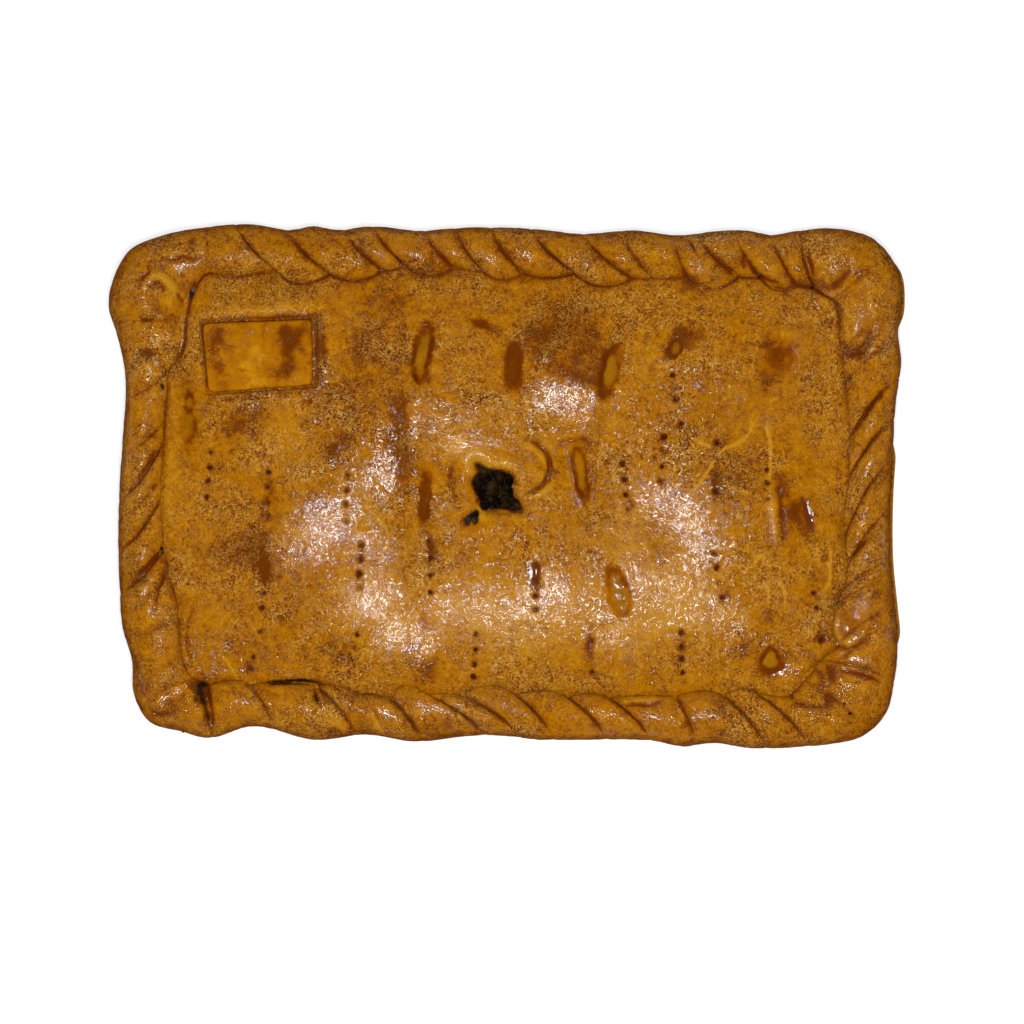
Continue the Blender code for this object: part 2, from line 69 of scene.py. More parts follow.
# The overall size, and the outer edge of the rope, clockwise from the top left corner
LENGTH = 394.5
WIDTH = 261.0
OUTER_EDGE = np.array(
    (
        # Top side, and the top right corner
        (-172, 124), (-149, 128.5), (-128, 130), (-105, 127.5), (-96, 129), (-84, 127.3),
        (-66, 129), (-44, 126.8), (-20, 128.4), (10, 128), (40, 125.3), (64, 127), (86, 124.6),
        (104, 126.5), (119, 127), (133, 124.8), (147, 127), (158, 128), (172, 126.7),
        (183, 122.8), (191, 115),
        # Right side, and the bottom right corner
        (196, 104), (197, 90), (195.5, 76), (197, 62), (194.5, 43), (193, 20), (191.3, -7),
        (191.5, -40), (193.5, -60), (195, -76), (193.5, -98), (189, -114), (180, -123.5),
        # Bottom side, and the bottom left corner
        (160, -129), (145, -130.3), (121, -130.8), (104, -128.2), (89, -130), (76, -127.6),
        (35, -126.7), (17, -126.6), (-2, -124.6), (-18, -124.8), (-45, -127.5), (-68, -124.2),
        (-94, -126.7), (-127, -120), (-148, -125.8), (-163, -122), (-176, -118.5), (-185, -103),
        # Left side
        (-185.7, -88), (-190.5, -70), (-192, -50), (-192, 0), (-190.5, 22), (-189.5, 58),
        (-193.5, 76), (-197.3, 88), (-195, 103), (-186.5, 117.5),
    ),
    dtype=float,
)

# The line where the rope meets the lid, clockwise from the top left corner
INNER_EDGE = np.array(
    (
        # Top side
        (-149, 105.3), (-134, 104.8), (-122, 106.5), (-88, 106), (-61, 107.8), (-49, 109.8),
        (-25, 108.6), (9, 106), (35, 106.4), (63, 103.6), (88, 103.6), (115, 104.5), (127, 104),
        (136, 99.8), (152, 99.8), (165, 91),
        # Right side
        (166.5, 70), (169, 55), (171.5, 25), (171, 5), (168.5, -14), (169.5, -46), (163, -66),
        (164.5, -80),
        # Bottom side
        (156, -87), (146.5, -97), (141.5, -104.5), (125, -103.2), (108, -103.5), (52, -105),
        (30, -104.8), (4, -103.5), (-22, -103.3), (-41, -102.8), (-50, -103), (-57, -105),
        (-72, -101), (-95, -98), (-126, -98), (-148, -98.8),
        # Left side
        (-157, -93), (-161.5, -76), (-161, -64), (-167, -43), (-170.5, -20), (-170, 20),
        (-168.5, 45), (-166.5, 57), (-160, 68), (-158, 84), (-154, 99),
    ),
    dtype=float,
)

# Torn vent and the small tear beside it
VENT = np.array(
    (
        (-14.5, 11), (-7.5, 8), (3.5, 5), (4, -2), (8, -12), (0, -10.5), (-12, -10.5),
        (-14, -4), (-15.5, 2), (-13, 7),
    )
)
TEAR = np.array(
    (
        (-13.7, -12.2), (-17.4, -13.6), (-20.4, -17), (-18.7, -18.9), (-16.6, -16.6),
        (-14.8, -18.2), (-13, -14.8),
    )
)

# The bed that the dough tag was pressed into, and the tag, clockwise from the top left corner
TAG_BED = np.array(((-151.6, 82.6), (-92.8, 84.8), (-93, 49), (-148.4, 45)))
TAG_EDGE = np.array(((-150.6, 81), (-95.6, 83.1), (-95.4, 50.2), (-147.4, 46.3)))


class Side(Enum):
    """The four sides of the pie, and the creases between the rope's twists along each, clockwise.

    Each entry holds the place of a crease at the outer edge and at the lid, as X along the top
    and the bottom side and as Y along the right and the left one, how far the twist after it
    reaches over the lid, and the crease's depth as a share of the deepest one's.
    """

    TOP = (
        (-149, -149, 0.5, 0.15), (-134, -112, 5.5, 0.8), (-109, -87, 4.5, 1),
        (-80, -61, 1, 0.9), (-66, -49, 5, 0.9), (-40, -25, 0.5, 0.85), (-25, -11, 4, 0.8),
        (-7, 9, 2.5, 0.9), (13, 35, 5.5, 1), (39, 63, 0.3, 1), (58, 73, 0.2, 0.5),
        (83, 90, 6.5, 0.45), (95, 116, 0.8, 0.9), (114, 127, 2.5, 0.4), (132, 145, 1, 0.7),
        (147, 153, 1, 0.7),
    )
    RIGHT = (
        (116, 93, 0.5, 0.25), (90, 67, 0.5, 0.15), (73, 53, 0.5, 0.2), (54, 25, 0.6, 0.9),
        (33, 5, 0.6, 0.9), (14, -25, 0.6, 0.65), (-12, -39, 0.6, 0.55), (-37, -51, 0.4, 0.2),
        (-46, -58, 1, 0.25), (-60, -78, 0.5, 0.25), (-97, -86, 0.5, 0.45),
    )
    BOTTOM = (
        (184, 148, 1, 0.4), (151, 126, 3, 0.9), (130, 107, 2.6, 0.9), (95, 84, 1.2, 0.6),
        (73, 51, 2.4, 0.85), (50, 31, 3, 0.85), (24, 5, 4.5, 0.9), (8, -22, 0.4, 0.9),
        (-10, -41, 4.5, 1), (-42, -57, 1.5, 0.85), (-60, -72, 0.3, 0.25), (-74, -95, 0, 0.9),
        (-115, -127, 3.2, 0.5), (-145, -149, 0.3, 1),
    )
    LEFT = (
        (-110, -95, 0.3, 0.25), (-95, -84, 0.3, 0.12), (-76, -63, 0.3, 0.2),
        (-66, -43, 0.4, 0.15), (-54, -31, 0.4, 0.9), (-33, -6, 0.3, 0.7), (-16, 3, 0.3, 0.2),
        (-8, 21, 0.3, 0.7), (16, 32, 0.3, 0.25), (43, 57, 0.3, 0.25), (68, 70, 0.2, 0.1),
        (83, 84, 0.2, 0.12),
    )


class SlitKind(Enum):
    """How a steam slit baked.

    Each value holds how much crumb shows, the browning of the rim, the egg wash on the rim, the
    browning of the floor, and the gloss of the whole.
    """

    CRUMB = (0.6, 0.4, 0.15, 0, -0.4)
    SOFT = (0.4, 0.35, 0.05, 0.25, -0.4)
    GLAZED = (0.5, 0.35, 0.25, 0.1, -0.8)
    BROWNED = (0.05, 0.35, 0.3, 0.55, -0.9)


@dataclass(frozen=True)
class Spot:
    """A soft patch on the dough: middle, half sizes, strength and turn in degrees."""

    x: float
    y: float
    half_x: float
    half_y: float
    strength: float
    turn: float = 0.0


@dataclass(frozen=True)
class Fold:
    """A crease, or a ridge where its height is above 0, that follows a line over the dough."""

    line: tuple[Pair, ...]
    width: float = 0.9
    height: float = -0.9
    wash: float = 0.0
    browning: float = 0.0
    ink: float = 0.0
    shine: float = 0.0


@dataclass(frozen=True)
class Slit:
    """A steam slit: place, half sizes, lean in degrees, how it baked, depth, taper and side.

    The side is above 0 where the right rim browned more than the left, and below 0 otherwise.
    """

    place: Pair
    half: Pair
    lean: float
    kind: SlitKind
    depth: float = 2.0
    taper: float = 0.0
    side: float = 0.0


@dataclass(frozen=True)
class PrickRow:
    """A row of holes that the tines of a fork left: its two ends and the number of holes."""

    start: Pair
    end: Pair
    holes: int = 4

    def points(self) -> Array:
        """The places of the holes."""
        share = np.linspace(0.0, 1.0, self.holes)[:, None]
        return np.array(self.start) + share * (np.array(self.end) - np.array(self.start))


@dataclass(frozen=True)
class InkSpecks:
    """Specks of ink, strewn over an oval: middle, half sizes, number and radius."""

    place: Pair
    half: Pair
    count: int
    radius: float


def rows_of(kind: type, *rows: tuple) -> tuple:
    """Makes one thing of a kind from each row of its values."""
    return tuple(kind(*row) for row in rows)


# Blisters and hollows of the lid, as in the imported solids
SWELLINGS = rows_of(
    Spot,
    (30, 68, 27, 32, 3.2), (-61, 46, 19, 38, 2.2), (-104, -31, 24, 22, 1.8), (-129, 26, 20, 13, 1.2),
    (92, -55, 45, 34, 1.2), (97, 32, 38, 38, 0.9), (-22, 4, 6, 9, 1.6), (18, 11, 9, 9, 2),
    (-45, 10, 6, 55, -1.5), (52, 34, 7, 36, -1.5, -8), (137, 62, 10, 11, -1.6),
)

SLITS = rows_of(
    Slit,
    ((-40.7, 66.3), (5.3, 15.6), -8.6, SlitKind.CRUMB, 2.2, 0, 0.5),
    ((52.2, 57), (5.2, 14.4), -13, SlitKind.CRUMB, 1.6, 0, -0.7),
    ((-156.8, 41.5), (2.8, 5), 0, SlitKind.SOFT, 0.7),
    ((-157.2, 29.5), (4.3, 8.5), 0, SlitKind.SOFT, 0.9),
    ((56.5, -52.4), (6.2, 14), 12, SlitKind.GLAZED, 0.8),
    ((131.8, -86.4), (6, 7.2), 8, SlitKind.CRUMB, 0.9, 0.5),
    ((-39.4, -3.5), (3, 14), -4, SlitKind.BROWNED, 1.1),
    ((4.2, 60.4), (4.8, 12.4), -3, SlitKind.BROWNED, 0.8, 0.3),
    ((37.6, 7.2), (3.9, 15), 8.5, SlitKind.GLAZED, 1.6),
    ((84.5, 68.6), (3.6, 5.8), -20, SlitKind.SOFT, 1.2, 0.2),
)

PRICK_ROWS = rows_of(
    PrickRow,
    ((-145.6, 17.1), (-148.1, -5.2)), ((-117.6, 7), (-117.9, -15)),
    ((-119.8, -52.9), (-120.8, -60.4), 2), ((-122.3, -72.3), (-126.2, -90.7)),
    ((-78.5, 5.7), (-78.6, -16.6)), ((-71.5, -29.1), (-72.1, -50.4)), ((-73.6, -73.8), (-77.5, -92.2)),
    ((-37.3, -27), (-36.6, -52.4)), ((-14.4, -73.8), (-15.4, -94.7)), ((15.4, -38.5), (15.2, -61.4)),
    ((43.4, -68.8), (43, -92.2)), ((58.1, 11.7), (61.1, -11.7)), ((78.5, 24.6), (77.3, 2.5)),
    ((105.4, 21.6), (104.7, -2.5)), ((129.7, 15.7), (130.7, -6)), ((103.7, -32.6), (107.9, -54.9)),
    ((87.5, -72.8), (88, -92.2)), ((153.6, -53), (157, -76.3)), ((83.5, 55.4), (87, 30.6), 3),
)

# Where the dough browned more (above 0) or stayed pale (below 0); the large pale patches of the lower
# middle are also painted highlight, where the egg skin shines most
BROWNING = rows_of(
    Spot,
    (20, -62, 62, 24, -0.32), (-62, -66, 34, 22, -0.16), (96, -46, 30, 26, -0.16),
    # Left third of the lid
    (-119, -40, 4.5, 8.5, 1.2), (-129, -32, 16, 9, 0.5), (-127, 34, 10, 9, 0.55), (-134, 28, 5, 6, 0.35),
    (-157, 43, 4, 5, 0.45), (-156, 22, 4, 4, 0.4), (-117, -4, 3, 8, 0.55), (-117, -15, 3, 4, 0.5),
    (-122, -25, 6, 8, 0.3), (-127, -91, 4, 4, 0.45), (-168, -42, 3, 6, 0.4), (-130, -82, 14, 10, 0.22),
    (-105, -58, 10, 14, 0.22), (-92, -50, 5, 12, 0.22), (-85, 18, 7, 8, 0.6), (-75, 28, 8, 10, 0.4, 35),
    (-72, 68, 4, 8, 0.4), (-80, 52, 9, 7, 0.4), (-91, 44, 7, 10, 0.3), (-93, -8, 5, 8, 0.3),
    (-94, 66, 2.2, 14, 0.5), (-60, 68, 14, 14, 0.42), (-58, 92, 13, 10, 0.4), (-52, 37, 6, 12, 0.75),
    (-53, 21, 4.5, 9, 0.65), (-52, 6, 4.5, 9, 0.6), (-46, 12, 4, 12, 0.35), (-66, 44, 9, 10, 0.35),
    (-78, -86, 5, 7, 0.5), (-86, -82, 8, 8, 0.25), (-72, -40, 2.5, 10, 0.35), (-100, 101, 40, 5, 0.2),
    # Middle of the lid
    (-40, -68, 5, 5, 0.55), (-37, -92, 7, 7, 0.55), (-46, -84, 5, 6, 0.3), (-40, -10, 2.5, 9, 0.4),
    (-37, -33, 3, 6, 0.5), (-14, -80, 3, 6, 0.3), (-25, 5, 3, 7, 0.3), (-12, 81, 6.5, 3.4, 0.75, -12),
    (-36, 106, 12, 4, 0.4), (4, 60, 4.5, 12, 0.6), (20, 77, 9, 5, 0.5), (33, 70, 22, 19, 0.5),
    (36, 54, 9, 6, 0.35), (47, 53, 4, 8, 0.5), (31, 89, 12, 7, 0.35), (15, 68, 8, 12, 0.25),
    (15.5, -43, 4, 9, 0.6), (15.5, -57, 2, 8, 0.35), (43, -81, 2.5, 11, 0.5), (22, 11, 5, 4, 0.3),
    (59, 8, 2, 9, 0.45), (62, -10, 3, 3.5, 0.5), (10, 104, 20, 4, 0.25),
    # Right third of the lid
    (85, 72, 9, 4.5, 0.65, 24), (80, 67, 5, 4, 0.3), (105, 21, 4, 4.5, 0.5), (104, 1, 4, 6.5, 0.95),
    (112, 4, 10, 12, 0.25), (134, 62, 8, 9, 0.5, -30), (129, 52, 5, 6, 0.25), (77, 0, 4, 4, 0.35),
    (84, 47, 3, 3, 0.4), (86.5, 31, 3, 3, 0.4), (78, 21, 3, 6, 0.3), (143, -12, 8, 8, 0.55),
    (137, 0, 4, 7, 0.4, 25), (151, -19, 2.5, 7, 0.6, -15), (137, -26, 3, 6, 0.25), (104, -36, 3, 8, 0.3),
    (109, -54, 4, 4, 0.45), (78, -33, 6, 5, 0.25), (129, -67, 4, 4, 0.45), (131, -86, 8, 8, 0.45),
    (116, -82, 6, 7, 0.35), (87, -84, 3, 12, 0.4), (157, -75, 3.5, 3.5, 0.9), (163, -52, 4, 7, 0.35),
    (160, -92, 5, 7, 0.35), (120, 12, 18, 26, 0.14), (93, 40, 20, 22, 0.14), (150, 100, 12, 4, 0.45),
    # Pale dough; where it lies on the glossy patches, its paleness is partly painted highlight
    (-163, 4, 7, 36, -0.3), (-108, 22, 9, 14, -0.22), (-20, 17, 9, 6, -0.5), (-4, 12, 8, 3, -0.35),
    (-26, 34, 12, 8, -0.18), (-88, 74, 7, 8, -0.2), (20, 19, 9, 4, -0.4), (54, 42, 5, 24, -0.22),
    (67, 60, 8, 12, -0.2), (-70, -20, 8, 14, -0.2), (-65, -56, 12, 9, -0.35), (-52, -72, 8, 10, -0.3),
    (-22, -60, 16, 10, -0.25), (5, -70, 20, 14, -0.25), (62, -22, 10, 16, -0.3),
    (84, -58, 18, 18, -0.38), (92, -18, 6, 8, -0.25), (112, -67, 9, 5, -0.3), (60, -76, 14, 10, -0.25),
    (122, 26, 10, 8, -0.15), (160, 20, 6, 40, -0.12), (-105, -26, 14, 10, -0.18), (2, 36, 20, 8, -0.2),
    (-95, 93, 18, 5, -0.1),
    # Rope edge
    (-178, 67, 4, 4, 0.7), (-127, 123, 3, 3, 0.4), (-151, -100, 5, 7, 0.8), (-170, 85, 6, 6, 0.25),
    (-167, -107, 6, 5, 0.35), (92, 103, 5, 4, 0.6), (-45, 110, 9, 5, 0.3), (186, -53, 3, 3, 0.5),
    (160, -106, 7, 4, 0.3), (-78, -121, 12, 5, 0.25), (-30, -120, 16, 5, 0.3), (170, 84, 5, 9, -0.45),
    (156, -100, 6, 6, -0.15), (-96, 122, 20, 5, 0.15), (-171, 47, 3, 5, -0.3),
)

# Where the egg wash dried to a gloss
SHINE = rows_of(
    Spot,
    (24, -62, 56, 20, 0.3), (-37, 33, 10, 9, 1), (-27, 38, 13, 6, 0.6), (30, 43, 10, 8, 1),
    (40, 36, 6, 9, 0.9), (21, 45, 8, 7, 0.7), (-18, 18, 12, 6, 0.8), (-100, -27, 16, 13, 0.9),
    (-86, -14, 11, 11, 0.9), (-79, -6, 6, 12, 0.7), (-62, 3, 10, 11, 0.8), (-67, -56, 13, 11, 0.9),
    (-52, -76, 11, 9, 0.9), (-39, -79, 7, 6, 0.7), (6, -66, 16, 10, 0.9), (20, -51, 9, 10, 0.8),
    (77, -7, 13, 10, 0.8), (92, -17, 10, 10, 1), (96, -32, 11, 9, 0.9), (107, -66, 11, 8, 0.9),
    (139, -93, 6, 4, 0.9), (60, -50, 9, 16, 0.6), (85, -55, 22, 18, 0.6), (-20, -62, 18, 12, 0.5),
    (62, -20, 12, 20, 0.4), (52, -72, 12, 12, 0.5), (-66, -30, 12, 12, 0.5), (170, -72, 8, 9, 0.9),
    (170, -90, 8, 4, 0.9), (166, 96, 5, 4, 0.8), (-163, -105, 6, 5, 0.8),
)

# Small marks with a crisp edge: dark brown blisters
DARK_BLISTERS = rows_of(
    Spot,
    (-119.8, -39, 2.9, 5.5, 1.5), (-119, -46.5, 1.6, 4, 1.2), (-177, 66, 2.6, 2.4, 1),
    (-36.8, -30, 2, 4, 0.8), (16.2, -41.5, 2, 4, 0.8), (157.5, -75.5, 2.2, 2.2, 1.2),
    (-12.5, 81, 5, 2.6, 0.8, -12), (104.3, 0.5, 2.4, 4, 0.8), (-37.6, 52.4, 1.2, 2.2, 0.9),
    (-38.4, 80.6, 2, 1.8, 1), (-44.4, 53.4, 1.1, 2.6, 1.3, 25), (48.6, 44.6, 1.4, 2, 1),
    (-85.5, 18.5, 3, 4.5, 0.5), (144.5, -11, 2.6, 4.5, 0.6, -20), (36.5, -8, 2.2, 3, 0.6),
    (-38.6, -14.5, 1.4, 2.8, 0.8),
)

# Smooth patches where the egg wash lies thick, without the dough's speckle
GLAZE = rows_of(
    Spot,
    (137, 63, 10, 8, 0.9, -30), (90, 74, 8, 4, 0.8, 24), (-37, -30, 3, 6, 0.6), (16, -41, 3, 6, 0.6),
    (132, -12, 2.5, 16, 0.8, -8), (150, -16, 3, 10, 0.7, -15), (171, -68, 8, 7, 0.9, 60),
    (88, -101.5, 4, 2.5, 0.9), (30, 22, 9, 7, 0.4), (166, -94.5, 5, 3, 0.6, -30), (-16, 2, 5, 12, 0.5),
    (-60, 14, 12, 9, 0.35), (-37, 34, 7, 7, 0.4), (-166, -105, 6, 5, 0.5), (42, 36, 6, 8, 0.4),
)

# Olive-black stains where ink seeped through the dough
INK_STAINS = rows_of(
    Spot,
    (-152, -103, 3.5, 6, 0.55), (-149.5, -98.5, 2.5, 1.6, 0.8), (-86.5, -121.5, 3, 1.4, 0.45),
    (-170.2, 49.8, 1.2, 1.8, 1.2), (-170, -31.5, 0.9, 1.9, 1.2), (-155.3, 96, 0.9, 1.3, 1),
    (-155.6, 96.2, 1.6, 2.2, 0.4), (170.5, 53, 2, 1.6, 0.45), (-128, -99, 1.4, 1, 0.5),
    (3, 4, 4.5, 1.4, 0.4, -35), (-1, -13.4, 9, 1.6, 0.35), (-184, -44, 6, 11, 0.22),
    (-44.2, 53.6, 0.9, 2.2, 0.5, 25), (-45.6, 66, 0.7, 7, 0.35, -8), (142.5, -104.6, 1.6, 1, 0.6),
    (152.5, 98, 0.8, 2.2, 0.6), (126.6, 104.6, 1.2, 0.8, 0.6), (-159, 77, 0.7, 7, 0.3),
)

# Specks of ink that dried on the crust, alone, in a thread, and strewn over the left side
SPECKS = rows_of(
    InkSpecks,
    ((168.4, -107.7), (0.4, 0.2), 2, 0.45), ((171, -112.9), (0.9, 0.5), 4, 0.6),
    ((171.2, -117.5), (0.2, 0.3), 2, 0.4), ((186.8, -53.5), (0.2, 0.3), 2, 0.5),
    ((-160, -122), (0.4, 0.4), 2, 0.6), ((-174.3, -105.9), (0.3, 0.3), 2, 0.5),
    ((86.5, -109.6), (0.2, 0.2), 1, 0.4), ((62.5, -116.5), (0.2, 0.2), 1, 0.4),
    ((163.5, 48.8), (1, 0.6), 4, 0.3), ((-158.4, -48.5), (1.2, 0.6), 4, 0.4),
    ((-155.6, 96), (0.8, 0.8), 4, 0.5), ((-158.8, 77), (0.5, 6), 9, 0.32),
    ((-172.5, 53.5), (4, 2), 9, 0.3), ((-184, -43), (5.5, 12), 46, 0.3),
    ((-169.8, -2), (0.5, 3), 5, 0.4), ((-178, 31), (3.5, 4), 10, 0.25), ((130, -99), (10, 0.5), 8, 0.25),
    ((20, -101.3), (12, 0.5), 12, 0.22), ((-110, 101.5), (6, 1.2), 5, 0.22),
    ((-88, -124), (2, 1), 4, 0.3),
)
INK_THREAD = ((-14.8, 41.6), (-12.6, 41.9), (-11.2, 43.6), (-8.8, 44.1), (-6.4, 45.6))

# Folds, ridges and fine cracks of the lid
LID_FOLDS = rows_of(
    Fold,
    # Curls and flaps beside the vent
    (((11, 24), (17, 20), (21.6, 14.4), (22.2, 8), (20.6, 2.7), (16, -1), (11, -3.7)), 1.3, -2.2, 0.75,
     0.7, 0, 0.5),
    (((10, 21), (15.5, 17.5), (19, 13.4), (19.4, 8), (17.8, 3.7), (14, 0.6)), 1.6, 1.1, 0, -0.3),
    (((24.2, 1), (18, -3.5), (10.5, -6)), 1.3, 1, 0, -0.4, 0, 0.5),
    (((22.7, 15.4), (27, 20), (33.3, 22.9), (39.7, 22.9), (41, 18), (39.7, 15.4)), 1.2, 1.5, 0.5, 0.3,
     0, 0.8), (((42.4, 14), (43.8, 2), (44.8, -9.2)), 1.3, 1, 0.3, 0.2, 0, 0.5),
    (((30.8, 19.6), (34, 4.2), (40, -10.7)), 1.1, 1, 0.5, 0.3, 0, 0.9),
    (((-26.3, 11), (-28, 2.2), (-24.9, -6.7)), 1.1, -0.8, 0.2, 0.3),
    (((-12.8, -9.5), (-12.6, -13.5), (-11.5, -17.8)), 1.5, 1.3, 0, -0.75),
    # Ridges and creases elsewhere
    (((42.2, -76.3), (44, -71), (48.5, -68), (57.2, -67.3)), 0.8, 0.7, 0.3, 0.2, 0, 0.8),
    (((42.6, -74), (42.4, -83)), 1.4, -0.7, 0.5, 0.5, 0, 0.4),
    (((15.6, -39), (15.2, -52)), 1.6, -0.6, 0.5, 0.5, 0, 0.4),
    (((131.7, 0.7), (133, -14), (135, -29)), 1.4, 0.8, 0, -0.4, 0, 0.9),
    (((135.6, 1), (137.2, -12), (138, -26)), 1.3, -0.5, 0.2, 0.5),
    (((146.6, -3.7), (150.5, -13), (154, -24.9)), 1.3, -0.9, 0.4, 0.6, 0, 0.7),
    (((-154.5, -58), (-157.5, -69), (-158, -80), (-155.5, -89)), 1, -0.7, 0.3, 0.3),
    (((-150, 86.4), (-122, 87.4), (-92, 89.4)), 2.4, 1, 0, -0.35),
    (((-90.6, 84), (-90, 66), (-91.2, 49)), 1.7, 0.5, 0.15, 0.5),
    (((-148, 42.6), (-122, 44.4), (-95, 46.6)), 1.6, 0.5, 0.1, 0.25),
    (((153, 98.5), (153.5, 90.5), (156, 86.2)), 0.8, -0.6, 0.4, 0.5),
    (((45.6, -11.7), (47.2, -13.2), (48.8, -11.7), (47.2, -10.2), (45.6, -11.7)), 0.5, 0.5),
    (((45.6, -25.6), (47.2, -27.2), (48.8, -25.6), (47.2, -24), (45.6, -25.6)), 0.5, 0.5),
    (((58.4, -10), (60.9, -12.4), (63.4, -10), (60.9, -7.6), (58.4, -10)), 0.7, 0.5, 0.3, 0.2),
    (((-114, 46), (-108, 38), (-106, 26)), 2, 0.35, 0, -0.15),
    (((118, 72), (128, 70), (141, 74)), 1.2, -0.4, 0, 0.2),
    (((139, 61), (137, 57), (132, 54)), 0.8, 0.4, 0.3, 0, 0, 0.8),
    # The gap where the rope lifted off the lid and lets the ink be seen
    (((-122, -97.6), (-111, -96.8), (-101, -96.4), (-95, -96.9), (-89, -98.4)), 1, -1.8, 0, 0.3, 1.3),
    # A web of thin pale threads where the dough stretched
    (((125.4, 34.5), (118, 22.8), (107.4, 17.6), (103, 11.2), (95.7, 0.5), (91.5, -3.6)), 0.6, 0.15, 0,
     -0.9), (((92.5, 24), (98, 21.5), (104.2, 17.6)), 0.5, 0.12, 0, -0.8),
    (((129.6, 32.4), (131.8, 21.8), (130.7, 0.5)), 0.6, 0.15, 0, -0.9),
    (((106.3, 2.7), (114, -1.5), (122.2, -3.6)), 0.5, 0.12, 0, -0.8),
    (((155, -28), (155, -34), (156.2, -38.6)), 0.5, 0.12, 0, -0.8),
    (((161.5, -29), (161.6, -40), (160.4, -49.3), (157, -52.4)), 0.6, 0.15, 0, -0.9),
    (((136, -45), (138.5, -51), (139.2, -57.8)), 0.5, 0.12, 0, -0.8),
    (((130.2, -48), (130.9, -53), (130.7, -58.9)), 0.5, 0.12, 0, -0.8),
    (((129.6, -32.3), (125.5, -36), (122.2, -40.8)), 0.5, 0.12, 0, -0.8),
    (((74.6, 59.4), (82, 60.4), (89.5, 67.8)), 0.5, 0.12, 0, -0.8),
    (((-66, -12), (-58, -24), (-62, -38)), 0.6, 0.12, 0, -0.5),
    (((72, -40), (80, -50), (96, -52), (108, -60)), 0.6, 0.12, 0, -0.5),
    (((-142, -82), (-136, -90), (-133, -96)), 0.6, 0.12, 0, -0.5),
)

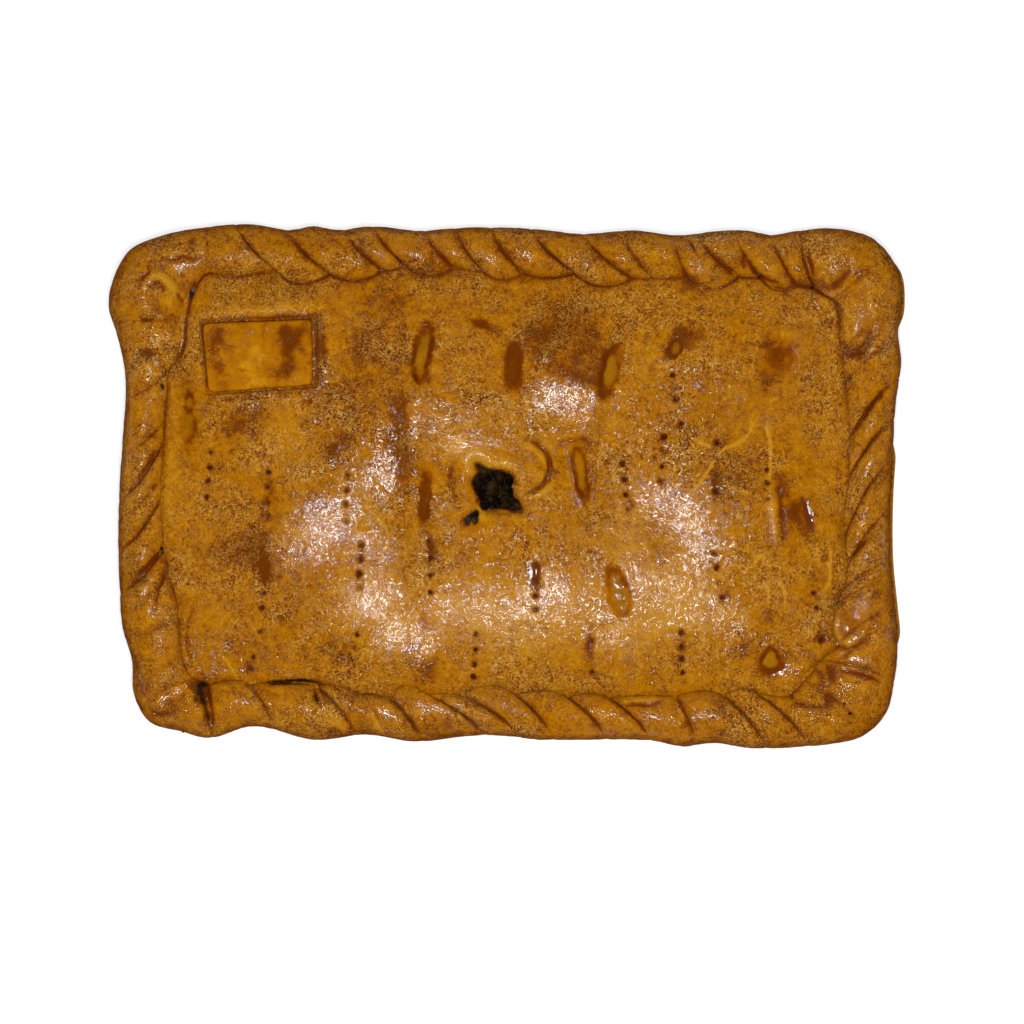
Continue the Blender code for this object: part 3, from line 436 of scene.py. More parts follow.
# Folds of the rope's ends on the corners, and small creases of its twists
ROPE_FOLDS = rows_of(
    Fold,
    # Top left corner, where the end is coiled up
    (((-182, 97), (-180.5, 102), (-176.8, 106.5), (-176.5, 111), (-172, 113.6)), 0.8, -1.1, 0.6, 0.3),
    (((-170, 113.6), (-164, 112.4), (-160, 114), (-156, 113), (-150, 113)), 0.8, -1, 0.5, 0.3),
    (((-172.5, 109.3), (-168, 106), (-162, 100.5), (-158.5, 97.5)), 1.3, -1.9, 0.1, 0.3, 0.3),
    (((-171, 106), (-166, 102), (-161, 96)), 1.2, 0.5, 0, -0.5),
    (((-181, 99), (-178.5, 103.5), (-172, 105), (-166, 102.5), (-164, 97.5), (-166, 92.5), (-171,
     89.5)), 1.6, 0.9, 0, -0.35),
    (((-176.8, 96), (-175.3, 100), (-171.5, 100.6), (-169.3, 98), (-170.6, 95.5)), 0.9, -0.9, 0.3, 0.45),
    (((-163, 98), (-161.5, 93.5), (-158.5, 91)), 0.9, -0.9, 0.4, 0.2),
    (((-178, 91.5), (-174.5, 88.6), (-169.5, 85.5)), 0.8, -1.1, 0.5, 0, 0, 0.6),
    (((-181.8, 83.2), (-178, 82.6), (-173.5, 83.2)), 0.9, -1, 0.6, 0, 0, 0.5),
    (((-155, 116.5), (-156, 120.5), (-153.5, 123.8)), 0.9, -0.9, 0.3, 0.4),
    (((-153.5, 103.5), (-155.3, 97), (-157.6, 92), (-158.3, 84.5)), 1.1, -1.5, 0.5, 0.2, 0.2),
    # Top side
    (((-87, 124.5), (-78, 117.5)), 0.9, -0.7, 0.3), (((-36, 118.5), (-36, 108.5)), 1, -0.9, 0.4),
    (((91, 122.6), (93.6, 118.3), (96.3, 113.8)), 0.8, -1.4, 0.5, 0.3, 0.35),
    (((83.7, 110.9), (87.8, 106.7)), 0.9, -0.8, 0.3),
    (((119.5, 116.5), (118.2, 112), (119.2, 107.5)), 1, -1.5, 0.6, 0.3, 0, 0.5),
    (((121, 111.5), (123.3, 107.5), (129, 103.3), (136, 100.9)), 1, -1.3, 0.6, 0.3, 0.15),
    (((133, 99), (140, 97.6), (147, 99.2), (152.5, 98.6)), 0.9, -1.4, 0.5, 0.4, 0.3),
    # Top right corner, with a flattened tongue of dough
    (((149.5, 118), (152, 110), (153.5, 103)), 0.9, -1.4, 0.6, 0.2),
    (((172, 109), (169, 105), (165, 101), (159.5, 96.5)), 1.3, -1.9, 0.5, 0.2),
    (((156.5, 94), (162, 96.5), (168, 97)), 1.2, 0.9, 0.1, -0.4, 0, 0.8),
    (((179, 111), (175.5, 108.5), (172, 103)), 0.9, -0.9, 0.3, -0.2),
    (((166, 92), (166.3, 81), (167, 73)), 1, -1.1, 0.3, 0.1),
    # The tongue's lower edge is darkened with browning and ink as a painted shadow under it
    (((166.3, 71), (170, 68.4), (175.8, 67), (178.4, 69), (180.7, 74), (182.8, 79)), 1.4, -2, 0.2, 0.6,
     0.25), (((168, 66.5), (171, 64.8), (174.5, 66.4), (177, 63.5)), 0.9, -1.1, 0.8, 0.3, 0, 0.4),
    (((168, 60.5), (172, 58.5), (176, 59.5)), 1, -0.8, 0.2, -0.3),
    (((179, 101), (180.5, 93), (181.5, 85)), 1.2, -0.7, 0, -0.25),
    # Right side
    (((172.5, 25.5), (177, 32), (180.5, 38), (184, 42.6), (188, 46.8)), 0.8, -0.9, 0.5, 0.2, 0, 0.4),
    (((193.3, 14), (188, 3), (181.3, -2)), 0.9, -0.9, 0.4),
    (((180, -26), (176.5, -30), (172.4, -35)), 0.8, -1.2, 0.7, 0.2),
    (((181, -43), (175.5, -47), (170.5, -51)), 1.1, -0.9, 0.1, 0.3),
    (((166.5, -59.5), (163, -64), (161.8, -71), (164.3, -78.2), (170, -80.6), (178, -76.5), (183, -70)),
     1.1, -1.5, 0.5, 0.2), (((165, -62.5), (163.8, -70), (166.4, -77), (172, -78)), 1.1, 0.9, 0, -0.5),
    (((174.5, -80), (169, -84), (165, -86.5)), 1, -1.1, 0.5),
    # Bottom right corner, with the rope's flattened end
    (((141.5, -104.5), (145, -99), (149, -93.5), (153, -90.3)), 1.1, -2, 0.6, 0.3),
    (((153.6, -90.6), (156.8, -92.8), (158, -97.5), (156, -101)), 0.9, -1.4, 0.4, 0.3, 0, 0.8),
    (((159, -87.6), (161.8, -92), (161.6, -97), (159.6, -99.4)), 1, -1.7, 0.4, 0.5),
    (((142, -105), (146, -108), (152, -109.4), (158, -109.2), (162, -107)), 0.9, -1.7, 0.4, 0.4, 0.2),
    (((160.5, -100.5), (160.2, -104), (161.6, -107.5)), 0.9, -1.1, 0.3, 0.2),
    (((163.6, -88.5), (164.6, -92.5), (167.5, -97.5)), 1.1, 0.9, 0.2, 0, 0, 1),
    (((164.8, -90.8), (169, -92), (174, -92.8), (180, -94.5), (186, -97)), 0.9, -1.5, 0.7, 0.3),
    # Bottom side
    (((106, -103), (108, -108), (108.6, -114)), 1.1, -0.7, 0.1, 0.4),
    (((84.4, -104.5), (85.5, -109), (87, -113), (88.6, -115.6)), 0.9, -0.9, 0, -0.5, 0, 0.8),
    (((57.5, -109.2), (63, -108.5), (72, -108.3), (78.5, -106.3)), 0.9, -1.2, 0.5, 0.2),
    (((58.5, -106.6), (67, -105.9), (76, -104.7)), 1.1, 0.5, 0, -0.4),
    (((-66.5, -112), (-64, -117), (-60.5, -122)), 0.9, -0.7, 0, -0.5),
    (((-95.3, -100), (-93.6, -105), (-92.4, -108.6)), 0.9, -2.2, 0.3, 0.2, 0.9),
    (((-92.2, -109.5), (-88, -114.5), (-82, -118.2), (-75.5, -121.8)), 1.7, -0.6, 0, -0.4, 0.22),
    # The rope's edge under the lid's rim, darkened with browning and ink as painted shade
    (((-80.5, -103.4), (-72, -102), (-64, -103.2), (-57.5, -106)), 1.2, -1.2, 0.1, 0.3, 0.3),
    (((-118, -98.4), (-110, -97.8), (-101, -97.4), (-95, -97.9), (-91, -99.2)), 0.7, -0.8, 0.3, 0.3, 1.1),
    # Left side and the bottom left corner
    (((-160.4, 64), (-164, 60), (-167.6, 56.4)), 1, -1.2, 0.5, 0.1, 0.25),
    (((-173, 19), (-175.5, 14), (-179, 8), (-182.5, 3.4)), 0.9, -1, 0.6, 0.3),
    (((-171.5, 28), (-176, 25.4), (-181.5, 23.5)), 0.9, -0.8, 0.35),
    (((-172, 1.5), (-174.5, 0), (-177.2, -2)), 0.8, -0.9, 0.5),
    (((-171.2, -32), (-175.5, -37.4), (-180, -42), (-184, -45)), 0.9, -1, 0.6, 0.3),
    (((-168, -43), (-171.8, -51), (-173, -57), (-174, -60.6)), 0.9, -1.2, 0.5, 0.2),
    (((-167, -43.5), (-164, -52), (-161.7, -61), (-161.8, -72)), 1, -1.4, 0.5, 0.2, 0, 0.8),
    (((-187, -80.5), (-183.3, -87), (-181, -93)), 0.8, -1, 0.3, 0.2),
    (((-184.5, -92), (-180.5, -100), (-178, -106)), 0.8, -0.7, 0.3, 0.1),
    (((-176.5, -109.5), (-173, -112.5), (-168, -113), (-162, -110.5)), 1, -1.5, 0.4, 0.5),
    (((-151, -99), (-150, -105), (-147.6, -113), (-146.2, -119.5)), 1.1, -2.3, 0.3, 0.3, 0.7),
)

# Lumps and dips of the rope's ends
ROPE_SWELLINGS = rows_of(
    Spot,
    (-167, -105, 7, 5, -2.4), (151.5, -100, 8, 6, 2, 30), (172, -70, 6, 8, 1.4),
    (171, -69, 4, 5, -1.6, 50), (173, 82, 6, 10, 1.6), (164, 97, 4, 4, -1), (172.5, 63.5, 4, 3, 1.8),
    (172.5, 57, 4, 2.5, 1), (-172.5, 98, 9, 8, 1.2), (-173, 97, 3.5, 3, 0.8),
    (-170.3, 49.5, 1.6, 2.2, -2.4), (-171, 43, 2.5, 3.5, -0.9), (-170, -31.5, 1.3, 2.2, -2),
    (-160, -102, 5, 5, -1), (186, 62, 8, 14, 1), (172, -101, 8, 6, 0.8), (-155.3, 96, 1.4, 1.6, -1.6),
)

# Blobs that browned and patches that stayed pale on the dough tag, and its small cracks
TAG_BROWNING = rows_of(
    Spot,
    (-144.2, 72, 3.6, 6.5, 0.6), (-107.8, 72.6, 5.6, 7.6, 1.05), (-110, 63, 5, 5, 0.45),
    (-143.4, 57.5, 3.2, 4.2, 0.4), (-112, 56.5, 5, 4, 0.35), (-99, 74, 2.5, 10, 0.35),
    (-124, 51, 9, 4, -0.4), (-101.5, 54, 5, 4, -0.3), (-124, 62, 12, 9, -0.12), (-124, 77, 12, 4, 0.1),
)
TAG_FOLDS = rows_of(
    Fold,
    (((-120.8, 80.3), (-119.8, 72), (-120.8, 66.8)), 0.6, -0.35, 0.2, 0.15),
    (((-133.2, 57.9), (-127, 57.4), (-120.8, 54.9)), 0.6, -0.35, 0.2, 0.15),
    (((-99.4, 60.4), (-98.9, 57), (-98.4, 53.9)), 0.6, -0.35, 0.2, 0.15),
)


def smooth_line(knots: Array, steps: int, closed: bool = True) -> Array:
    """Runs a smooth curve through knots.

    Args:
        knots: the points that the curve passes, one row each.
        steps: the number of steps to each gap between two knots.
        closed: whether the curve goes back to its first knot.

    Returns:
        The curve's points, one row each.
    """
    knots = np.asarray(knots, dtype=float)
    if not closed:
        first, last = 2 * knots[0] - knots[1], 2 * knots[-1] - knots[-2]
        knots = np.vstack((first, knots, last))
    ahead = np.roll(knots, -1, axis=0) - knots
    gap = np.linalg.norm(ahead, axis=1)[:, None]
    slope = ahead / gap
    gap_before = np.roll(gap, 1, axis=0)
    tangent = (slope * gap_before + np.roll(slope, 1, axis=0) * gap) / (gap + gap_before)
    after, tangent_after = np.roll(knots, -1, axis=0), np.roll(tangent, -1, axis=0)
    t = np.linspace(0.0, 1.0, steps, endpoint=False)[:, None, None]
    curve = (
        (2 * t**3 - 3 * t**2 + 1) * knots
        + (t**3 - 2 * t**2 + t) * gap * tangent
        + (3 * t**2 - 2 * t**3) * after
        + (t**3 - t**2) * gap * tangent_after
    ).transpose(1, 0, 2)
    if closed:
        return curve.reshape(-1, knots.shape[1])
    return np.vstack((curve[1:-2].reshape(-1, knots.shape[1]), knots[-2]))


class Loop:
    """A closed curve that is walked clockwise by its length."""

    def __init__(self, points: Array) -> None:
        """Measures the curve through a polygon's corners."""
        self.points = points
        self.closed = np.vstack((points, points[:1]))
        steps = np.linalg.norm(np.diff(self.closed, axis=0), axis=1)
        self.walked = np.concatenate(([0.0], np.cumsum(steps)))
        self.length = float(self.walked[-1])

    def at(self, s: Array) -> Array:
        """The points that lie s along the loop, where s may run past its end."""
        s = np.mod(s, self.length)
        return np.stack([np.interp(s, self.walked, self.closed[:, k]) for k in (0, 1)], axis=-1)

    def paces(self, step: float) -> Array:
        """Places along the loop that lie about a step apart."""
        return np.linspace(0.0, self.length, round(self.length / step), endpoint=False)

    def outward(self, s: Array, reach: float) -> Array:
        """The unit vectors out of the loop at s, read over a reach to each side.

        Args:
            s: places along the loop.
            reach: how far to each side the direction is read.

        Returns:
            A vector for each place.
        """
        along = self.at(s + reach) - self.at(s - reach)
        out = np.stack((-along[..., 1], along[..., 0]), axis=-1)
        return out / np.linalg.norm(out, axis=-1, keepdims=True)

    def place(self, side: Side, value: float) -> float:
        """Finds a crease on one side of the loop.

        Args:
            side: the side of the pie.
            value: the crease's X, or its Y on the right and the left side.

        Returns:
            How far along the loop the crease lies.
        """
        x, y = (self.points / np.abs(self.points).max(axis=0)).T
        on_side = {
            Side.TOP: y > np.abs(x), Side.BOTTOM: -y > np.abs(x),
            Side.RIGHT: x >= np.abs(y), Side.LEFT: -x >= np.abs(y),
        }[side]
        axis = 0 if side in (Side.TOP, Side.BOTTOM) else 1
        away = np.abs(self.points[:, axis] - value)
        return float(self.walked[np.where(on_side, away, np.inf).argmin()])

    def inset(self, distance: float, step: float, reach: float = 8.0) -> Array:
        """The corners of the loop drawn in by a distance, a step apart, or out if below 0."""
        s = self.paces(step)
        return self.at(s) - distance * self.outward(s, reach)


def cloud(size: float, number: int, x: Array, y: Array) -> Array:
    """Smooth random unevenness, between -1 and 1.

    Args:
        size: the size of its lumps.
        number: tells it from the other clouds.
        x: where along X it is asked for.
        y: where along Y it is asked for.

    Returns:
        The unevenness at each place.
    """
    grid = np.random.default_rng(SEED + number).uniform(-1.0, 1.0, (LATTICE, LATTICE))
    u, v = x / size, y / size
    i, j = np.floor(u).astype(int), np.floor(v).astype(int)
    u, v = u - i, v - j
    u, v = u * u * (3.0 - 2.0 * u), v * v * (3.0 - 2.0 * v)
    i0, i1, j0, j1 = (np.mod(k, LATTICE) for k in (i, i + 1, j, j + 1))
    low = grid[i0, j0] * (1 - u) + grid[i1, j0] * u
    high = grid[i0, j1] * (1 - u) + grid[i1, j1] * u
    return low * (1 - v) + high * v


def window(distance: Array, full: float, blend: float) -> Array:
    """1 up to the full distance, falling smoothly to 0 over the blend."""
    t = np.clip(1.0 - (distance - full) / blend, 0.0, 1.0)
    return t * t * (3.0 - 2.0 * t)


def bell(distance: Array, width: float | Array) -> Array:
    """1 where the distance is 0, falling away on both sides within about the width."""
    return np.exp(-((distance / width) ** 2))


def turned(x: Array, y: Array, place: Pair, turn: float) -> tuple[Array, Array]:
    """X and Y as seen from a place, along axes turned by an angle in radians."""
    dx, dy = x - place[0], y - place[1]
    return dx * math.cos(turn) + dy * math.sin(turn), dy * math.cos(turn) - dx * math.sin(turn)


def patches(spots: tuple[Spot, ...], x: Array, y: Array, power: float = 1.0) -> Array:
    """Adds up soft patches.

    Args:
        spots: the patches.
        x: where along X they are asked for.
        y: where along Y they are asked for.
        power: above 1, a patch is flatter in its middle and ends more sharply.

    Returns:
        The sum at each place.
    """
    total = np.zeros_like(x)
    for spot in spots:
        dx, dy = turned(x, y, (spot.x, spot.y), math.radians(spot.turn))
        away = (dx / spot.half_x) ** 2 + (dy / spot.half_y) ** 2
        total += spot.strength * np.exp(-(away**power))
    return total


def ragged_patches(spots: tuple[Spot, ...], x: Array, y: Array) -> Array:
    """Soft patches whose edges are as uneven as an oven makes them."""
    wide, fine = 3.2, 1.3
    ragged_x = x + wide * cloud(11.0, 1, x, y) + fine * cloud(3.5, 2, x, y)
    ragged_y = y + wide * cloud(11.0, 3, ragged_x, y) + fine * cloud(3.5, 4, ragged_x, y)
    return patches(spots, ragged_x, ragged_y, 1.25)


def nearest_on_line(line: Array, x: Array, y: Array) -> tuple[Array, Array]:
    """Measures how far points are from a line.

    Args:
        line: the line's points.
        x: the points' X.
        y: the points' Y.

    Returns:
        The distance, and the share of the line's length where it is nearest.
    """
    steps = np.diff(line, axis=0)
    lengths = np.linalg.norm(steps, axis=1)
    walked = np.concatenate(([0.0], np.cumsum(lengths)))
    best, share = np.full(x.shape, np.inf), np.zeros_like(x)
    for start, step, length, before in zip(line[:-1], steps, lengths, walked):
        t = np.clip(((x - start[0]) * step[0] + (y - start[1]) * step[1]) / length**2, 0.0, 1.0)
        away = np.hypot(x - start[0] - t * step[0], y - start[1] - t * step[1])
        nearer = away < best
        best = np.where(nearer, away, best)
        share = np.where(nearer, (before + t * length) / walked[-1], share)
    return best, share


def placed(name: str, data: bpy.types.ID) -> Obj:
    """Makes an object of a mesh, light or camera and links it to the scene.

    Args:
        name: the object's name.
        data: the mesh, light or camera.

    Returns:
        The object.
    """
    made = bpy.data.objects.new(name, data)
    bpy.context.scene.collection.objects.link(made)
    return made


def meshed(name: str, points: Array, faces: list[list[int]]) -> Obj:
    """Makes a mesh object from points in millimetres and faces.

    Args:
        name: its name.
        points: its points, one row each.
        faces: its faces.

    Returns:
        The object.
    """
    mesh = bpy.data.meshes.new(name)
    mesh.from_pydata((points * MM).tolist(), [], faces)
    return placed(name, mesh)


def face_outward(mesh: Mesh, merged: float = 0.0) -> None:
    """Turns a mesh's faces outwards, after merging points that are closer than a distance.

    Args:
        mesh: the mesh.
        merged: the distance in metres, or 0 to merge none.
    """
    bm = bmesh.new()
    bm.from_mesh(mesh)
    if merged:
        bmesh.ops.remove_doubles(bm, verts=bm.verts, dist=merged)
    bmesh.ops.recalc_face_normals(bm, faces=bm.faces)
    bm.to_mesh(mesh)
    bm.free()


def points_of(obj: Obj) -> Array:
    """An object's points in millimetres, one row each.

    Args:
        obj: the object.

    Returns:
        The points.
    """
    points = np.zeros(len(obj.data.vertices) * 3)
    obj.data.vertices.foreach_get("co", points)
    return points.reshape(-1, 3) / MM


def write(mesh: Mesh, name: str, values: Array) -> None:
    """Writes an attribute to a mesh's points: a number each, or a row of three.

    Args:
        mesh: the mesh.
        name: the attribute's name.
        values: its values.
    """
    kind, key = ("FLOAT", "value") if values.ndim == 1 else ("FLOAT_VECTOR", "vector")
    layer = mesh.attributes.new(name, kind, "POINT")
    layer.data.foreach_set(key, values.astype(np.float32).ravel())


@dataclass
class Marks:
    """What the oven and the egg wash left on the dough, with some painted shade and highlight among it,
    as one number a point for each.
    """

    STORED = ("browning", "shine", "wash", "crumb", "ink", "glaze")

    browning: Array
    shine: Array
    wash: Array
    crumb: Array
    ink: Array
    glaze: Array
    relief: Array

    @classmethod
    def blank(cls, count: int) -> "Marks":
        """Marks that are 0 all over a number of points."""
        return cls(*(np.zeros(count) for _ in range(7)))

    @classmethod
    def baked(cls, x: Array, y: Array) -> "Marks":
        """Marks with the patches that the lid and the rope share."""
        made = cls.blank(len(x))
        made.browning = np.minimum(ragged_patches(BROWNING, x, y), 0.95)
        made.shine = ragged_patches(SHINE, x, y)
        made.glaze = np.clip(ragged_patches(GLAZE, x, y), 0.0, 1.0)
        near_x = x + 0.7 * cloud(2.4, 19, x, y)
        near_y = y + 0.7 * cloud(2.4, 20, x, y)
        blisters = patches(DARK_BLISTERS, near_x, near_y, 2.2)
        made.browning += 0.45 * blisters
        made.glaze = np.maximum(made.glaze, np.clip(blisters, 0.0, 0.9))
        made.ink = patches(INK_STAINS, near_x, near_y, 1.6)
        return made

    def fold(self, folds: tuple[Fold, ...], x: Array, y: Array, widen: float = 1.0) -> None:
        """Adds folds.

        Args:
            folds: the folds.
            x: the points' X.
            y: the points' Y.
            widen: how many times wider the folds are, for a net too coarse for thin ones.
        """
        for fold in folds:
            line = smooth_line(np.array(fold.line, dtype=float), 6, closed=False)
            width = widen * fold.width
            reach = 3.5 * width
            low, high = line.min(axis=0) - reach, line.max(axis=0) + reach
            near = np.flatnonzero((x > low[0]) & (x < high[0]) & (y > low[1]) & (y < high[1]))
            if not len(near):
                continue
            away, share = nearest_on_line(line, x[near], y[near])
            ends = np.sin(math.pi * np.clip(share, 0.02, 0.98)) ** 0.5
            uneven = 1.0 + 0.35 * cloud(5.0, 5, x[near], y[near])
            close = ends * bell(away, width * uneven)
            sharp = ends * bell(away, 0.62 * width)
            self.relief[near] += widen * fold.height * close
            # Browning that darkens a crease is partly painted shade, and paleness along a ridge or a
            # glinting line is partly painted highlight
            self.browning[near] += 1.6 * fold.browning * close
            self.shine[near] += fold.shine * close
            self.wash[near] = np.maximum(self.wash[near], 1.2 * widen * fold.wash * uneven * sharp)
            self.ink[near] += fold.ink * uneven * sharp

    def store(self, mesh: Mesh, **others: float) -> None:
        """Writes the marks to a mesh's first points, and one number or 0 to its others."""
        for name in self.STORED:
            values = np.full(len(mesh.vertices), others.get(name, 0.0))
            values[: len(self.browning)] = getattr(self, name)
            write(mesh, name, values)


class Shell:
    """A closed mesh in the making, in millimetres."""

    def __init__(self) -> None:
        """Starts with no points."""
        self.points: list[Array] = []
        self.faces: list[list[int]] = []
        self.count = 0

    def add_points(self, points: Array) -> Array:
        """Adds points and returns their numbers."""
        self.points.append(np.asarray(points, dtype=float))
        self.count += len(points)
        return np.arange(self.count - len(points), self.count)

    def add_net(self, flat: Array, z: Array | float, faces: Array, down: bool = False) -> Array:
        """Adds a flat net at its height.

        Args:
            flat: the net's points.
            z: their heights, or one for all.
            faces: the net's triangles.
            down: whether it faces down.

        Returns:
            The numbers of its points.
        """
        numbers = self.add_points(np.column_stack((flat, np.broadcast_to(z, len(flat)))))
        self.faces += numbers[faces[:, ::-1] if down else faces].tolist()
        return numbers

    def bridge(self, first: Array, second: Array) -> None:
        """Joins two closed rings of points by a band of faces."""
        after_first, after_second = np.roll(first, -1), np.roll(second, -1)
        self.faces += np.stack((first, after_first, after_second, second), axis=1).tolist()

    def mesh_object(self, name: str) -> Obj:
        """Makes the object, with its faces turned outwards.

        Args:
            name: its name.

        Returns:
            The object.
        """
        made = meshed(name, np.vstack(self.points), self.faces)
        face_outward(made.data)
        made.data.shade_smooth()
        return made


def inside(polygon: Array, x: Array, y: Array) -> Array:
    """Whether each point lies inside a polygon."""
    found = np.zeros(x.shape, dtype=bool)
    for (x0, y0), (x1, y1) in zip(polygon, np.roll(polygon, -1, axis=0)):
        if y0 != y1:
            found ^= ((y0 > y) != (y1 > y)) & (x < (x1 - x0) * (y - y0) / (y1 - y0) + x0)
    return found


def tree_of(points: Array) -> KDTree:
    """A search tree of flat points."""
    tree = KDTree(len(points))
    for number, (x, y) in enumerate(points):
        tree.insert((x, y, 0.0), number)
    tree.balance()
    return tree


def distances(tree: KDTree, x: Array, y: Array) -> Array:
    """The distance from each point to the nearest one of a search tree."""
    return np.array([tree.find((px, py, 0.0))[2] for px, py in zip(x.tolist(), y.tolist())])


@dataclass
class FlatNet:
    """A net of triangles over a flat outline, with lines that its edges follow.

    Attributes:
        outline: the corners of the outer edge.
        holes: the outlines of the holes.
        lines: more closed lines that edges follow.
        dots: single points that the net takes in.
        step: the net's usual spacing.
        fine_box: where given, the net has its usual spacing only in this box.
        coarse_step: the spacing outside that box.
    """

    outline: Array
    holes: list[Array] = field(default_factory=list)
    lines: list[Array] = field(default_factory=list)
    dots: Array = field(default_factory=lambda: np.zeros((0, 2)))
    step: float = 1.0
    fine_box: tuple[float, float, float, float] | None = None
    coarse_step: float = 8.0

    def grid(self) -> Array:
        """The free points of the net, in shifted rows, with a little jitter."""
        low, high = self.outline.min(axis=0), self.outline.max(axis=0)
        nets = [(low, high, self.step)]
        if self.fine_box:
            box = np.array(self.fine_box)
            nets = [(low, high, self.coarse_step), (box[:2], box[2:], self.step)]
        found = []
        for (x0, y0), (x1, y1), step in nets:
            rows, columns = np.arange(y0, y1, step * 0.87), np.arange(x0, x1, step)
            x = columns[None, :] + (np.arange(len(rows)) % 2)[:, None] * step / 2
            y = np.repeat(rows[:, None], len(columns), axis=1)
            net = np.stack((x.ravel(), y.ravel()), axis=1)
            shake = np.random.default_rng(SEED).uniform(-0.15, 0.15, net.shape)
            found.append(net + shake * step)
        if self.fine_box:
            margin = self.coarse_step / 2
            outside = (found[0] < box[:2] - margin) | (found[0] > box[2:] + margin)
            found[0] = found[0][outside.any(axis=1)]
        return np.vstack(found)

    def build(self) -> tuple[Array, Array, list[Array]]:
        """Makes the net.

        Returns:
            The points, the triangles, and the point numbers of each closed line: the outline,
            the holes and the other lines, in that order.
        """
        loops = [self.outline, *self.holes, *self.lines]
        fixed = np.vstack((*loops, self.dots))
        free = self.grid()
        free = free[inside(self.outline, *free.T)]
        free = free[distances(tree_of(fixed), *free.T) > 0.55 * self.step]
        for hole in self.holes:
            free = free[~inside(hole, *free.T)]
        points = np.vstack((fixed, free))
        numbers = np.split(np.arange(len(fixed)), np.cumsum([len(loop) for loop in loops]))[:-1]
        edges = [e for ring in numbers for e in zip(ring.tolist(), np.roll(ring, -1).tolist())]
        made = delaunay_2d_cdt([Vector(point) for point in points.tolist()], edges, [], 1, 1e-6)
        flat = np.array([tuple(point) for point in made[0]])
        triangles = np.array(made[2])
        new_number = np.zeros(len(points), dtype=int)
        for number, sources in enumerate(made[3]):
            new_number[sources] = number
        for hole in self.holes:
            triangles = triangles[~inside(hole, *flat[triangles].mean(axis=1).T)]
        return flat, triangles, [new_number[ring] for ring in numbers]


def add_node(
    tree: Tree, kind: str, inputs: dict | tuple = (), operation: str = "", **settings: object
) -> Node:
    """Adds a node with its settings and links.

    Args:
        tree: the tree that the node goes into.
        kind: the node's type.
        inputs: by name or in order, a value, an output, or a node whose first output is used.
        operation: what the node works out, where it has a choice.
        settings: its other properties.

    Returns:
        The node.
    """
    node = tree.nodes.new(kind)
    if operation:
        node.operation = operation
    for name, value in settings.items():
        setattr(node, name, value)
    for key, value in inputs.items() if isinstance(inputs, dict) else enumerate(inputs):
        if isinstance(key, int):
            socket = node.inputs[key]
        else:
            socket = next(s for s in node.inputs if s.name == key and s.enabled)
        if isinstance(value, Node):
            value = next(s for s in value.outputs if s.enabled)
        if isinstance(value, bpy.types.NodeSocket):
            tree.links.new(value, socket)
        else:
            socket.default_value = value
    return node


def geometry_tree(name: str, sizes: dict[str, float | int | None]) -> tuple[Tree, object]:
    """Starts a Geometry Nodes tree.

    Args:
        name: the tree's name.
        sizes: each input by name with its default value, or None for an object.

    Returns:
        The tree and the outputs of its input node.
    """
    tree = bpy.data.node_groups.new(name, "GeometryNodeTree")
    tree.interface.new_socket("Geometry", in_out="INPUT", socket_type="NodeSocketGeometry")
    for label, value in sizes.items():
        kind = {float: "NodeSocketFloat", int: "NodeSocketInt"}.get(type(value), "NodeSocketObject")
        socket = tree.interface.new_socket(label, in_out="INPUT", socket_type=kind)
        if value is not None:
            socket.default_value = value
    tree.interface.new_socket("Finish", in_out="INPUT", socket_type="NodeSocketMaterial")
    tree.interface.new_socket("Geometry", in_out="OUTPUT", socket_type="NodeSocketGeometry")
    return tree, tree.nodes.new("NodeGroupInput").outputs


def close_tree(tree: Tree, given: object, result: Node) -> Tree:
    """Ends a Geometry Nodes tree with Realize Instances and Set Material.

    Args:
        tree: the tree.
        given: the outputs of its input node, with the socket Finish.
        result: the node whose geometry comes out.

    Returns:
        The tree.
    """
    for kind in ("GeometryNodeRealizeInstances", "GeometryNodeSetShadeSmooth"):
        result = add_node(tree, kind, {"Geometry": result})
    dressed = {"Geometry": result, "Material": given["Finish"]}
    add_node(tree, "NodeGroupOutput", (add_node(tree, "GeometryNodeSetMaterial", dressed),))
    return tree


def worked(obj: Obj, tree: Tree, values: dict[str, object]) -> None:
    """Runs a Geometry Nodes tree on an object and keeps the result as its plain mesh.

    Args:
        obj: the object.
        tree: the tree.
        values: the tree's inputs by name.
    """
    modifier = obj.modifiers.new(tree.name, "NODES")
    modifier.node_group = tree
    for socket in tree.interface.items_tree:
        if socket.in_out == "INPUT" and socket.name in values:
            modifier[socket.identifier] = values[socket.name]
    graph = bpy.context.evaluated_depsgraph_get()
    mesh = bpy.data.meshes.new_from_object(obj.evaluated_get(graph))
    obj.modifiers.remove(modifier)
    old, obj.data = obj.data, mesh
    bpy.data.meshes.remove(old)
    mesh.name = obj.name


def skin_tree() -> Tree:
    """Makes the tree that wrinkles the skin of baked dough.

    Returns:
        The tree.
    """
    tree, given = geometry_tree(
        "Dough skin",
        {"Wrinkle Size": 7.0 * MM, "Wrinkle Height": 0.34 * MM, "Grain Size": 2.6 * MM,
         "Grain Height": 0.2 * MM},
    )
    node = partial(add_node, tree)
    total = 0.0
    for kind, detail in (("Wrinkle", 2.0), ("Grain", 1.0)):
        scale = node(MATH, (1.0, given[f"{kind} Size"]), "DIVIDE")
        noise = node(NOISE, {"Scale": scale, "Detail": detail, "Roughness": 0.6, "Distortion": 0.6})
        swing = node(MATH, (noise.outputs["Fac"], 2.0, -1.0), "MULTIPLY_ADD")
        total = node(MATH, (swing, given[f"{kind} Height"], total), "MULTIPLY_ADD")
    normal = node("GeometryNodeInputNormal")
    offset = node(VECTOR_MATH, {"Vector": normal, "Scale": total}, "SCALE")
    moved = node("GeometryNodeSetPosition", {"Geometry": given["Geometry"], "Offset": offset})
    return close_tree(tree, given, moved)


